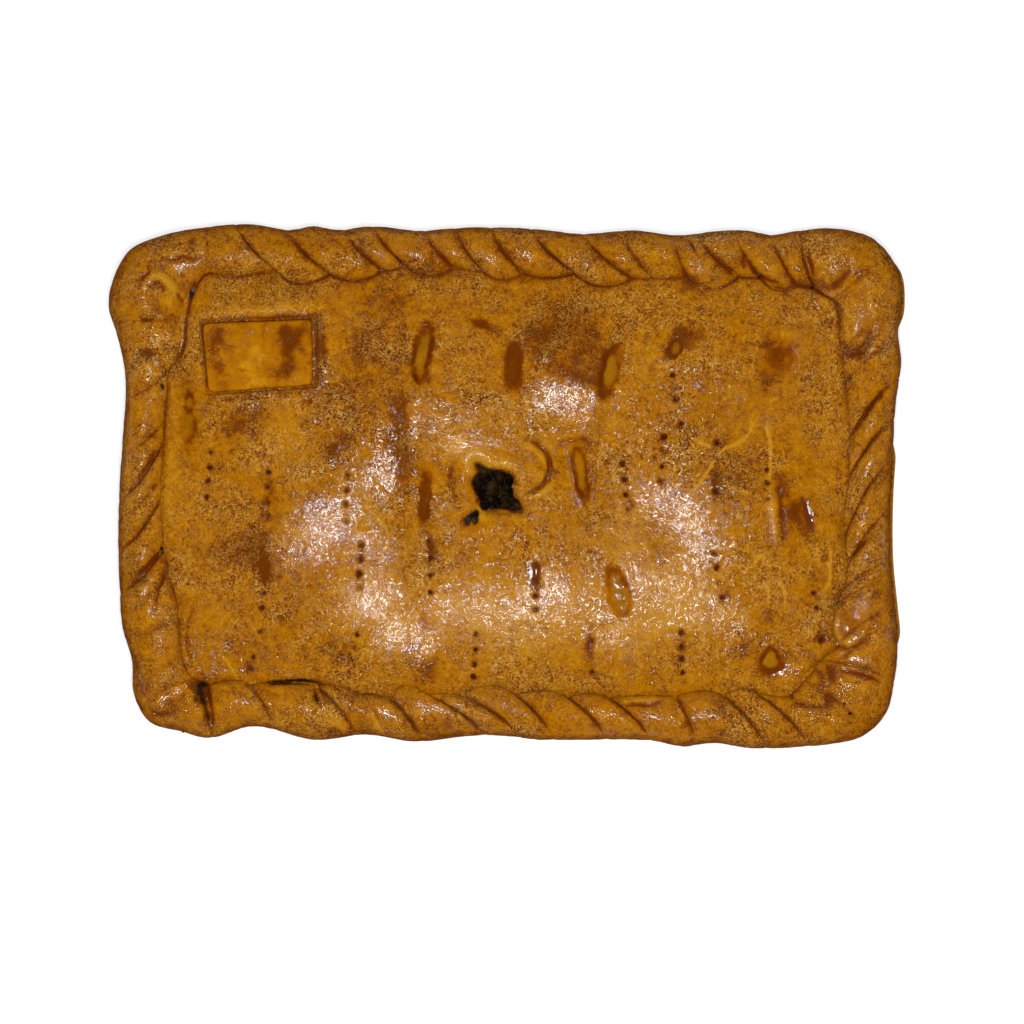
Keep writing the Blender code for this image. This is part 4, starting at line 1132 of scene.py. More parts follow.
def prick_tree() -> Tree:
    """Makes the tree that pricks rows of fork holes into the lid.

    Returns:
        The tree, whose inputs are the object with the holes' places, and the holes' sizes. It
        stores how deep in a hole each point is as the attribute prick.
    """
    tree, given = geometry_tree(
        "Fork pricks",
        {"Places": None, "Hole Radius": 1.5 * MM, "Hole Depth": 1.6 * MM, "Halo": 3.4 * MM},
    )
    node = partial(add_node, tree)
    places = node("GeometryNodeObjectInfo", {"Object": given["Places"]}).outputs["Geometry"]
    near = node("GeometryNodeProximity", {"Geometry": places}, target_element="POINTS")
    # The tines went in more or less deep, and the dough closed around each in its own way
    wobble, force = (
        node(NOISE, {"Scale": 1.0 / size, "Detail": 1.0}) for size in (1.7 * MM, 9.0 * MM)
    )
    ragged = node(MATH, (wobble, 1.6 * MM, -0.8 * MM), "MULTIPLY_ADD")
    ragged = node(MATH, (near.outputs["Distance"], ragged), "ADD")
    force = node(MAP_RANGE, (force, 0.3, 0.7, 0.3, 1.2))
    weights = []
    for reach in ("Hole Radius", "Halo"):
        share = node(MATH, (ragged, given[reach]), "DIVIDE")
        weight = node(MAP_RANGE, (share, 1.0, 0.1, 0.0, 1.0), interpolation_type="SMOOTHSTEP")
        weights.append(node(MATH, (weight, force), "MULTIPLY"))
    depth = node(MATH, (weights[0], given["Hole Depth"]), "MULTIPLY")
    down = node(MATH, (depth, -1.0), "MULTIPLY")
    offset = node("ShaderNodeCombineXYZ", {"Z": down})
    halo = node(MATH, (weights[1], 0.42), "MULTIPLY")
    both = node(MATH, (weights[0], halo), "MAXIMUM")
    # Stored before the points move, because both are worked out from where the points lie
    stored = node(
        "GeometryNodeStoreNamedAttribute",
        {"Geometry": given["Geometry"], "Name": "prick", "Value": both},
        data_type="FLOAT", domain="POINT",
    )
    moved = node("GeometryNodeSetPosition", {"Geometry": stored, "Offset": offset})
    return close_tree(tree, given, moved)


def rope_tree() -> Tree:
    """Makes the tree that lays the rope's surface from its two edges and its section.

    Returns:
        The tree. Each point brings the attributes outer, inner, outer_out, inner_out and sweep
        of its column, across, rise and cut of its row, and fullness, tip and depth of its twist.
    """
    tree, given = geometry_tree(
        "Pleated rope", {"Crease Depth": 3.2 * MM, "Outer Scallop": 0.4 * MM, "Puff": 0.5 * MM}
    )
    node = partial(add_node, tree)
    read = {
        name: node("GeometryNodeInputNamedAttribute", {"Name": name}, data_type=kind)
        for kind, names in (
            ("FLOAT_VECTOR", ("outer", "inner", "outer_out", "inner_out", "sweep")),
            ("FLOAT", ("across", "rise", "cut", "fullness", "tip", "depth")),
        )
        for name in names
    }
    empty = node(MATH, (1.0, read["fullness"]), "SUBTRACT")
    hollow = node(MATH, (empty, read["depth"]), "MULTIPLY")
    scallop = node(MATH, (hollow, given["Outer Scallop"]), "MULTIPLY")
    ends = []
    for edge, reach in (("outer", scallop), ("inner", read["tip"])):
        drawn_in = node(VECTOR_MATH, {"Vector": read[f"{edge}_out"], "Scale": reach}, "SCALE")
        ends.append(node(VECTOR_MATH, (read[edge], drawn_in), "SUBTRACT"))
    between = {"Factor": read["across"], "A": ends[0], "B": ends[1]}
    flat = node("ShaderNodeMix", between, data_type="VECTOR", clamp_factor=False)
    sunk = node(MATH, (hollow, given["Crease Depth"]), "MULTIPLY")
    swell = node(MATH, (read["fullness"], given["Puff"]), "MULTIPLY")
    change = node(MATH, (swell, sunk), "SUBTRACT")
    height = node(MATH, (change, read["cut"], read["rise"]), "MULTIPLY_ADD")
    lifted = node("ShaderNodeCombineXYZ", {"Z": height})
    half_turn = node(MATH, (read["across"], math.pi), "MULTIPLY")
    bow = node(MATH, (half_turn,), "SINE")
    swept = node(VECTOR_MATH, {"Vector": read["sweep"], "Scale": bow}, "SCALE")
    curved = node(VECTOR_MATH, (flat.outputs[1], swept), "ADD")
    place = node(VECTOR_MATH, (curved, lifted), "ADD")
    moved = node("GeometryNodeSetPosition", {"Geometry": given["Geometry"], "Position": place})
    return close_tree(tree, given, moved)


def strand_tree() -> Tree:
    """Makes the tree that heaps curved strands of stewed onion and cuttlefish.

    Returns:
        The tree.
    """
    tree, given = geometry_tree(
        "Stewed strands",
        {"Strand Length": 8.0 * MM, "Strand Radius": 0.8 * MM, "Density": 90000.0, "Seed": SEED},
    )
    node = partial(add_node, tree)
    ends = {
        name: node(VECTOR_MATH, {"Vector": at, "Scale": given["Strand Length"]}, "SCALE")
        for name, at in (
            ("Start", (-0.5, 0.0, 0.0)), ("Middle", (0.0, 0.5, 0.2)), ("End", (0.5, 0.0, 0.0)),
        )
    }
    bend = node("GeometryNodeCurveQuadraticBezier", {"Resolution": 10, **ends})
    circle = {"Resolution": 8, "Radius": given["Strand Radius"]}
    profile = node("GeometryNodeCurvePrimitiveCircle", circle).outputs["Curve"]
    tube = {"Curve": bend, "Profile Curve": profile, "Fill Caps": True}
    strand = node("GeometryNodeCurveToMesh", tube)
    points = node(
        "GeometryNodeDistributePointsOnFaces",
        {"Mesh": given["Geometry"], "Density": given["Density"], "Seed": given["Seed"]},
    ).outputs["Points"]
    spin, size = (
        node(RANDOM, {"Min": low, "Max": high, "Seed": given["Seed"]}, data_type=kind)
        for kind, low, high in (
            ("FLOAT_VECTOR", (-0.35, -0.35, 0.0), (0.35, 0.35, 6.283)), ("FLOAT", 0.5, 1.1),
        )
    )
    heap = node(INSTANCES, {"Points": points, "Instance": strand, "Rotation": spin, "Scale": size})
    return close_tree(tree, given, heap)


def speck_tree() -> Tree:
    """Makes the tree that sets a flat speck on each point it is given.

    Returns:
        The tree, whose inputs are the specks' radius and seed. Each point brings the attribute
        radius, by which its speck is larger or smaller.
    """
    tree, given = geometry_tree("Ink specks", {"Speck Radius": 1.0 * MM, "Seed": SEED})
    node = partial(add_node, tree)
    ball = {"Radius": given["Speck Radius"], "Subdivisions": 1}
    speck = node("GeometryNodeMeshIcoSphere", ball).outputs["Mesh"]
    shape, spin = (
        node(RANDOM, {"Min": low, "Max": high, "Seed": given["Seed"]}, data_type="FLOAT_VECTOR")
        for low, high in (
            ((0.6, 0.5, 0.25), (1.6, 1.0, 0.4)), ((-0.2, -0.2, 0.0), (0.2, 0.2, 6.283)),
        )
    )
    radius = node("GeometryNodeInputNamedAttribute", {"Name": "radius"}, data_type="FLOAT")
    size = node(VECTOR_MATH, {"Vector": shape, "Scale": radius}, "SCALE")
    strewn = {"Points": given["Geometry"], "Instance": speck, "Rotation": spin, "Scale": size}
    return close_tree(tree, given, node(INSTANCES, strewn))


def linear(colour: str) -> tuple[float, float, float, float]:
    """The linear colour of an sRGB hex value, such as #B4741A."""
    parts = [int(colour[i : i + 2], 16) / 255 for i in (1, 3, 5)]
    curve = [p / 12.92 if p <= 0.04045 else ((p + 0.055) / 1.055) ** 2.4 for p in parts]
    return (*curve, 1.0)


def new_finish(name: str, plain: dict[str, object]) -> tuple[Material, Tree, Node]:
    """Starts a material.

    Args:
        name: the material's name.
        plain: what is the same all over the surface, set on the shader's own sockets.

    Returns:
        The material, its node tree, and the Principled shader in it.
    """
    made = bpy.data.materials.new(name)
    made.use_nodes = True
    shader = made.node_tree.nodes["Principled BSDF"]
    for socket, value in plain.items():
        shader.inputs[socket].default_value = value
    return made, made.node_tree, shader


@dataclass(frozen=True)
class BakedDough:
    """Wheat bread dough, rolled, brushed with beaten egg and baked.

    The egg dries to a thin clear skin that shines where it lies thick, and turns red-brown where
    it gathers in creases. The dough under it runs from straw to amber and dark brown, speckled at
    1 to 3 mm where tiny blisters took more heat, and netted with thin pale lines where its skin
    cracked and wrinkled as it rose. Those pale lines are also painted highlight, standing for the
    light that the crests of the wrinkles catch.
    """

    name: str = "baked_bread_dough"
    straw: str = "#BA7F12"
    sand: str = "#AC6B02"
    golden: str = "#A06000"
    amber: str = "#8D4F00"
    brown: str = "#703300"
    burnt: str = "#622C00"
    # Pale lines of the cracked skin, and painted highlight on the crests of the wrinkles
    thread: str = "#D4A74C"
    crumb: str = "#936409"
    wash: str = "#6C2803"
    # Egg pooled in the fork holes, darkened further as painted shade in the holes
    hole: str = "#4C1804"
    ink: str = "#100C05"
    # The real skin's finest speckle is under 1 mm, and is drawn as coarse as the picture shows it
    speckle: float = 0.85 * MM
    mottle: float = 2.2 * MM
    blotch: float = 6.0 * MM
    drift: float = 26.0 * MM
    crackle: float = 3.0 * MM
    crest: float = 2.5 * MM
    wrinkle: float = 1.6 * MM

    def build(self) -> Material:
        """Makes the material.

        Returns:
            The material.
        """
        # Only the egg skin shines, so the dough under it has next to no gloss of its own
        plain = {
            "Roughness": 0.8, "IOR": 1.45, "Specular IOR Level": 0.02, "Coat Roughness": 0.08,
        }
        made, tree, shader = new_finish(self.name, plain)
        node = partial(add_node, tree)
        place = node("ShaderNodeTexCoord").outputs["Object"]
        mark = {
            name: node("ShaderNodeAttribute", attribute_name=name).outputs["Fac"]
            for name in (*Marks.STORED, "prick")
        }
        noise = {
            name: node(
                NOISE,
                {"Vector": place, "Scale": 1.0 / getattr(self, name), "Detail": detail,
                 "Roughness": 0.6, "Distortion": distortion},
            ).outputs["Fac"]
            for name, detail, distortion in (
                ("speckle", 1.0, 0.3), ("mottle", 2.0, 0.6), ("blotch", 3.0, 0.4),
                ("drift", 2.0, 0.3), ("crackle", 1.0, 1.2), ("crest", 1.0, 1.2),
                ("wrinkle", 1.0, 0.8),
            )
        }
        # The pale lines run along the wrinkles' crests and are partly painted highlight there; the same
        # web also shapes the bump
        nets = tuple(self.lines(tree, noise[name], 0.06) for name in ("crackle", "crest"))
        web = node(MATH, nets, "MAXIMUM")
        bare = node(MATH, (mark["glaze"], -0.85, 1.0), "MULTIPLY_ADD", use_clamp=True)
        smooth = node(MATH, (mark["browning"], -0.7, bare), "MULTIPLY_ADD", use_clamp=True)
        pale_lines_and_highlight = node(MATH, (noise["drift"], 3.0, -0.9), "MULTIPLY_ADD", use_clamp=True)
        for share in (web, bare):
            pale_lines_and_highlight = node(MATH, (share, pale_lines_and_highlight), "MULTIPLY")
        fine = self.weighted(tree, -0.9, ((noise["speckle"], 0.9), (noise["mottle"], 0.9)))
        bake = self.weighted(
            tree, -0.565,
            ((smooth, fine), (mark["browning"], 0.75), (noise["blotch"], 1.05),
             (noise["drift"], 1.1), (pale_lines_and_highlight, -0.26)),
        )
        ramp = node("ShaderNodeValToRGB", {"Fac": bake})
        stops = (
            (0.0, self.straw), (0.22, self.sand), (0.42, self.golden), (0.58, self.amber),
            (0.78, self.brown), (1.0, self.burnt),
        )
        elements = ramp.color_ramp.elements
        while len(elements) < len(stops):
            elements.new(0.5)
        for element, (position, colour) in zip(elements, stops):
            element.position = position
            element.color = linear(colour)
        colour = ramp.outputs["Color"]
        egg = node(MATH, (mark["wash"], mark["prick"]), "MAXIMUM")
        uneven = node(MATH, (noise["mottle"], 1.4, 0.3), "MULTIPLY_ADD")
        # Each overlay reaches its full strength at the last number, so a larger one is weaker
        # The hole tint darkens the fork holes past the egg pooled in them, as painted shade
        for source, tint, full in (
            (pale_lines_and_highlight, self.thread, 1.9), (mark["crumb"], self.crumb, 0.9), (egg, self.wash, 0.9),
            (mark["ink"], self.ink, 0.9), (mark["prick"], self.hole, 0.7),
        ):
            strength = node(MATH, (source, uneven), "MULTIPLY")
            limits = (strength, 0.0, full, 0.0, 0.95)
            strength = node(MAP_RANGE, limits, interpolation_type="SMOOTHSTEP")
            layers = {"Factor": strength, "A": colour, "B": linear(tint)}
            colour = node("ShaderNodeMix", layers, data_type="RGBA")
            colour = next(s for s in colour.outputs if s.enabled)
        tree.links.new(colour, shader.inputs["Base Color"])
        # The egg skin lies on the crests of the wrinkles, in thin lines that widen where it is thick
        sheen = self.weighted(
            tree, -0.54,
            ((mark["wash"], -0.7), (mark["shine"], 0.7), (egg, 0.35), (mark["glaze"], 0.1),
             (noise["blotch"], 1.0), (noise["mottle"], 0.5)),
        )
        width = node(MAP_RANGE, (sheen, 0.0, 1.0, 0.001, 0.34))
        weight = node(MAP_RANGE, (sheen, 0.0, 0.7, 0.0, 0.8))
        coat = node(MATH, (self.lines(tree, noise["crest"], width), weight), "MULTIPLY")
        tree.links.new(coat.outputs[0], shader.inputs["Coat Weight"])
        relief = self.weighted(
            tree, 0.0, ((noise["wrinkle"], 1.0), (web, 0.2), (noise["speckle"], 0.25))
        )
        # The egg skin fills the wrinkles in part, so it is smoother than the dough under it
        for socket, distance in (("Normal", 0.55 * MM), ("Coat Normal", 0.2 * MM)):
            height = {"Strength": smooth, "Distance": distance, "Height": relief}
            bump = node("ShaderNodeBump", height)
            tree.links.new(bump.outputs["Normal"], shader.inputs[socket])
        return made

    def lines(self, tree: Tree, noise: object, width: object) -> Node:
        """Thin lines that follow where a noise passes its middle, 1 on a line and 0 off it."""
        off = add_node(tree, MATH, (noise, 0.5), "SUBTRACT")
        off = add_node(tree, MATH, (off,), "ABSOLUTE")
        limits = (off, 0.0, width, 1.0, 0.0)
        return add_node(tree, MAP_RANGE, limits, interpolation_type="SMOOTHSTEP")

    def weighted(self, tree: Tree, start: float, parts: tuple[tuple[object, object], ...]) -> Node:
        """Adds up values.

        Args:
            tree: the material's tree.
            start: what the sum starts from.
            parts: each value and its weight, as nodes, outputs or numbers.

        Returns:
            The node that gives the sum.
        """
        total = start
        for source, weight in parts:
            total = add_node(tree, MATH, (source, weight, total), "MULTIPLY_ADD")
        return total


@dataclass(frozen=True)
class InkStew:
    """Cuttlefish and onion stewed soft in their ink: nearly black, olive where thin, and wet."""

    name: str = "ink_stew"
    black: str = "#0A0401"
    olive: str = "#38240C"
    clump: float = 5.0 * MM

    def build(self) -> Material:
        """Makes the material.

        Returns:
            The material.
        """
        plain = {
            "IOR": 1.4, "Specular IOR Level": 0.02, "Coat Weight": 0.015, "Coat Roughness": 0.08,
        }
        made, tree, shader = new_finish(self.name, plain)
        node = partial(add_node, tree)
        place = node("ShaderNodeTexCoord").outputs["Object"]
        clumps = {"Vector": place, "Scale": 1.0 / self.clump, "Detail": 4.0, "Roughness": 0.6}
        noise = node(NOISE, clumps).outputs["Fac"]
        share = node(MAP_RANGE, (noise, 0.46, 0.72, 0.0, 1.0))
        colours = {"Factor": share, "A": linear(self.black), "B": linear(self.olive)}
        mixed = node("ShaderNodeMix", colours, data_type="RGBA")
        tree.links.new(next(s for s in mixed.outputs if s.enabled), shader.inputs["Base Color"])
        rough = node(MATH, (noise, 0.3, 0.4), "MULTIPLY_ADD")
        tree.links.new(rough.outputs[0], shader.inputs["Roughness"])
        height = {"Strength": 1.0, "Distance": 0.5 * MM, "Height": noise}
        bump = node("ShaderNodeBump", height)
        for socket in ("Normal", "Coat Normal"):
            tree.links.new(bump.outputs["Normal"], shader.inputs[socket])
        return made


@dataclass(frozen=True)
class StudioFloor:
    """A matte white table that glows a little, so it stays white right up to the pie."""

    name: str = "matte_white_table"
    white: str = "#FFFFFF"
    grey: str = "#8C8C8C"
    glow: float = 0.8

    def build(self) -> Material:
        """Makes the material.

        Returns:
            The material.
        """
        plain = {
            "Base Color": linear(self.grey), "Emission Color": linear(self.white),
            "Emission Strength": self.glow, "Roughness": 0.9, "Specular IOR Level": 0.1,
        }
        return new_finish(self.name, plain)[0]


@dataclass(frozen=True)
class Trees:
    """The Geometry Nodes trees, each made once."""

    skin: Tree = field(default_factory=skin_tree)
    pricks: Tree = field(default_factory=prick_tree)
    rope: Tree = field(default_factory=rope_tree)
    strands: Tree = field(default_factory=strand_tree)
    specks: Tree = field(default_factory=speck_tree)


def declared(obj: Obj, node: str) -> Obj:
    """Hangs a piece under the root body, hides the CAD node that it stands for, and logs its faces."""
    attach(obj, "root")
    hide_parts(node)
    LOG.info("%s: %d faces", obj.name, len(obj.data.polygons))
    return obj


def fitted_outer_edge() -> Loop:
    """The rope's outer edge, moved and stretched to LENGTH by WIDTH about the origin."""
    points = smooth_line(OUTER_EDGE, 24)
    low, high = points.min(axis=0), points.max(axis=0)
    return Loop((points - (low + high) / 2) * np.array((LENGTH, WIDTH)) / (high - low))


@dataclass(frozen=True)
class Pillow:
    """The lid's surface before its small marks: a flat pillow with waves, blisters and a bed."""

    edge: float = 18.5
    rise: float = 8.0
    flatness: float = 4.0
    half: Pair = (171.0, 106.0)
    wave_count: int = 7
    wave_height: float = 0.45
    wave_lengths: Pair = (45.0, 110.0)
    bed_centre: Pair = (-122.3, 65.2)
    bed_half: Pair = (26.5, 17.0)
    bed_turn: float = math.radians(3.6)
    bed_height: float = 24.4
    bed_blend: Pair = (3.0, 14.0)

    def plain(self, x: Array, y: Array) -> Array:
        """The height of the pillow alone."""
        across, down = (
            np.clip(np.abs(value) / half, 0.0, 1.0) ** self.flatness
            for value, half in zip((x, y), self.half)
        )
        return self.edge + self.rise * (1.0 - across) * (1.0 - down)

    def height(self, x: Array, y: Array) -> Array:
        """The height with waves, blisters and the flat bed of the tag."""
        z = self.plain(x, y)
        draw = np.random.default_rng(SEED)
        for _ in range(self.wave_count):
            heading, phase = draw.uniform(0.0, 2.0 * math.pi, 2)
            length = draw.uniform(*self.wave_lengths)
            along = x * math.cos(heading) + y * math.sin(heading)
            z += self.wave_height * np.sin(2.0 * math.pi * along / length + phase)
        z += patches(SWELLINGS, x, y)
        seen = turned(x, y, self.bed_centre, self.bed_turn)
        outside = (np.maximum(np.abs(d) - half, 0.0) for d, half in zip(seen, self.bed_half))
        bed = window(np.hypot(*outside), *self.bed_blend)
        return z * (1.0 - bed) + self.bed_height * bed


@dataclass
class Piece:
    """A piece of the pie, with the trees that shape it and its finish."""

    trees: Trees
    finish: Material

    def shaped(self, obj: Obj, tree: Tree, **sizes: object) -> None:
        """Runs a tree on an object, with sizes named by the tree's inputs in small letters."""
        named = {name.replace("_", " ").title(): value for name, value in sizes.items()}
        worked(obj, tree, {**named, "Finish": self.finish})


@dataclass
class RopeEdge(Piece):
    """The rope edge, twisted by hand from the rims of the lid and the base sheet."""

    outer: Loop
    inner: Loop
    column_step: float = 1.0
    rows_per_gap: int = 5
    crease_depth: float = 3.3
    outer_scallop: float = 0.4
    puff: float = 1.0
    start_flank: float = 2.8
    end_flank: float = 1.1
    arch_share: float = 0.45
    sweep: float = 0.13
    crowding: float = 0.62
    row_width: float = 24.0
    # Share of the way in, height, and how much of a crease reaches there
    section: tuple[tuple[float, float, float], ...] = (
        (0.12, 2.0, 0.0), (0.02, 4.5, 0.0), (0.00, 9.0, 0.0), (0.01, 13.5, 0.0),
        (0.06, 18.0, 0.08), (0.17, 21.8, 0.42), (0.33, 24.1, 0.85), (0.50, 24.9, 1.0),
        (0.68, 24.4, 1.0), (0.83, 23.0, 1.0), (0.94, 21.0, 0.85), (0.995, 18.9, 0.6),
        (0.985, 16.8, 0.3), (0.90, 13.0, 0.0), (0.50, 2.5, 0.0),
    )

    def places(self) -> Array:
        """The creases in a closed row: how far along both edges, and their reach and depth."""
        found = np.array(
            [
                (self.outer.place(side, out), self.inner.place(side, lid), reach, depth)
                for side in Side
                for out, lid, reach, depth in side.value
            ]
        )
        for column, loop in enumerate((self.outer, self.inner)):
            first = found[0, column]
            found[:, column] = np.mod(found[:, column] - first, loop.length) + first
        return np.vstack((found, found[0] + (self.outer.length, self.inner.length, 0.0, 0.0)))

    def columns(self) -> dict[str, Array]:
        """Lays the columns of the rope's net.

        Returns:
            By name: both edges' points and their ways out, and for each column how full its
            twist is there, how far the twist reaches over the lid, how deep its crease is and
            how far the crease is away.
        """
        draw = np.random.default_rng(SEED)
        places = self.places()
        columns = []
        for start, end in zip(places[:-1], places[1:]):
            twist = float((end - start)[:2].mean())
            count = max(6, round(twist / self.column_step))
            t = np.arange(count) / count
            share = t - self.crowding * np.sin(2 * math.pi * t) / (2 * math.pi)
            flank = draw.uniform(0.85, 1.2)
            arch = np.sin(math.pi * np.clip(share, 0.0, 1.0) ** draw.uniform(0.8, 1.0)) ** 0.8
            rise = np.tanh(share * twist / (self.start_flank * flank))
            rise *= np.tanh((1.0 - share) * twist / (self.end_flank * flank))
            s_out, s_in, _, depth = start[:, None] + (end - start)[:, None] * share
            full = (1.0 - self.arch_share) * rise + self.arch_share * arch
            away = np.minimum(share, 1.0 - share) * twist
            columns.append((s_out, s_in, full, start[2] * arch, depth, away))
        s_out, s_in, *rest = np.hstack(columns)
        made = dict(zip(("fullness", "tip", "depth", "away"), rest))
        for name, loop, s in (("outer", self.outer, s_out), ("inner", self.inner, s_in)):
            made[name], made[f"{name}_out"] = loop.at(s), loop.outward(s, 1.5)
        slant = made["inner"] - made["outer"]
        across = np.sum(slant * made["inner_out"], axis=1, keepdims=True) * made["inner_out"]
        made["sweep"] = -self.sweep * (slant - across)
        return made

    def lid_line(self) -> Array:
        """The line on the lid that the tips of the twists reach."""
        made = self.columns()
        return made["inner"] - made["tip"][:, None] * made["inner_out"]

    def rows(self) -> Array:
        """The rows of the rope's net: share of the way in, height and cut of each."""
        scale = (self.row_width, 1.0, 1.0)
        return smooth_line(np.array(self.section) * scale, self.rows_per_gap) / scale

    def net(self) -> Obj:
        """The net of the rope, with an attribute for each value that the tree reads.

        Returns:
            The object with the net.
        """
        columns, rows = self.columns(), self.rows()
        count, height = len(columns["tip"]), len(rows)
        across, along = np.meshgrid(np.arange(count), np.arange(height), indexing="ij")
        shell = Shell()
        flat = np.column_stack((across.ravel(), along.ravel(), np.zeros(count * height)))
        numbers = shell.add_points(flat).reshape(count, height)
        for ring, after in zip(numbers, np.roll(numbers, -1, axis=0)):
            shell.bridge(ring, after)
        made = meshed("rope_edge", np.vstack(shell.points), shell.faces)
        for key, factor in (("tip", MM), ("depth", 1.0), ("fullness", 1.0), ("away", 1.0)):
            write(made.data, key, np.repeat(columns[key] * factor, height))
        for key in ("outer", "inner", "sweep", "outer_out", "inner_out"):
            factor = 1.0 if key.endswith("out") else MM
            values = np.repeat(columns[key] * factor, height, axis=0)
            write(made.data, key, np.column_stack((values, np.zeros(len(values)))))
        for column, (key, factor) in enumerate((("across", 1.0), ("rise", MM), ("cut", 1.0))):
            write(made.data, key, np.tile(rows[:, column] * factor, count))
        return made

    def build(self) -> Obj:
        """Makes the rope edge.

        Returns:
            The rope edge.
        """
        obj = self.net()
        self.shaped(
            obj, self.trees.rope, crease_depth=self.crease_depth * MM,
            outer_scallop=self.outer_scallop * MM, puff=self.puff * MM,
        )
        mesh = obj.data
        x, y, z = points_of(obj).T
        found = {key: np.zeros(len(x)) for key in ("across", "cut", "away", "depth")}
        for key, values in found.items():
            mesh.attributes[key].data.foreach_get("value", values)
        across, cut, away, depth = found.values()
        upper = window(np.abs(z - 26.0), 7.5, 4.0)
        marks = Marks.baked(x, y)
        marks.shine += 0.22 + 0.4 * cloud(12.0, 21, x, y)
        marks.fold(ROPE_FOLDS, x, y, 1.5)
        creased = cut * np.clip(1.3 * depth, 0.0, 1.0)
        # The browning of each crease's groove and of the flank beside it is partly the dough's own and
        # partly painted shade; the egg wash pooled in the groove is its own colour
        groove, flank = bell(away, 0.75) * creased, bell(away, 2.6) * creased
        uneven = 1.0 + 0.5 * cloud(9.0, 6, x, y)
        marks.wash = np.maximum(marks.wash, 0.6 * groove * uneven)
        marks.browning += 0.4 * groove + 0.35 * flank * np.clip(uneven, 0.4, 1.4)
        marks.wash = np.maximum(marks.wash, 0.4 * uneven * bell(across - 1.0, 0.03))
        # The outer rim and the low flank are browner: baked more there, and painted shade where the rope
        # turns down away from the light
        brow = window(across, 0.0, 0.18)
        marks.browning += 0.45 * brow + 0.2 * window(z, 10.0, 8.0)
        marks.shine -= 1.5 * brow + 1.5 * window(z, 15.0, 6.0)
        marks.glaze = np.maximum(marks.glaze, 0.1 + 0.3 * cloud(20.0, 26, x, y))
        z = z + upper * (marks.relief + patches(ROPE_SWELLINGS, x, y))
        z = z + upper * 0.4 * cloud(8.0, 8, x, y)
        mesh.vertices.foreach_set("co", (np.stack((x, y, z), axis=1) * MM).ravel())
        for name in (
            "outer", "inner", "outer_out", "inner_out", "sweep", "across", "rise", "cut",
            "fullness", "tip", "depth", "away",
        ):
            mesh.attributes.remove(mesh.attributes[name])
        marks.store(mesh)
        face_outward(mesh)
        self.shaped(obj, self.trees.skin)
        return declared(obj, "crust")


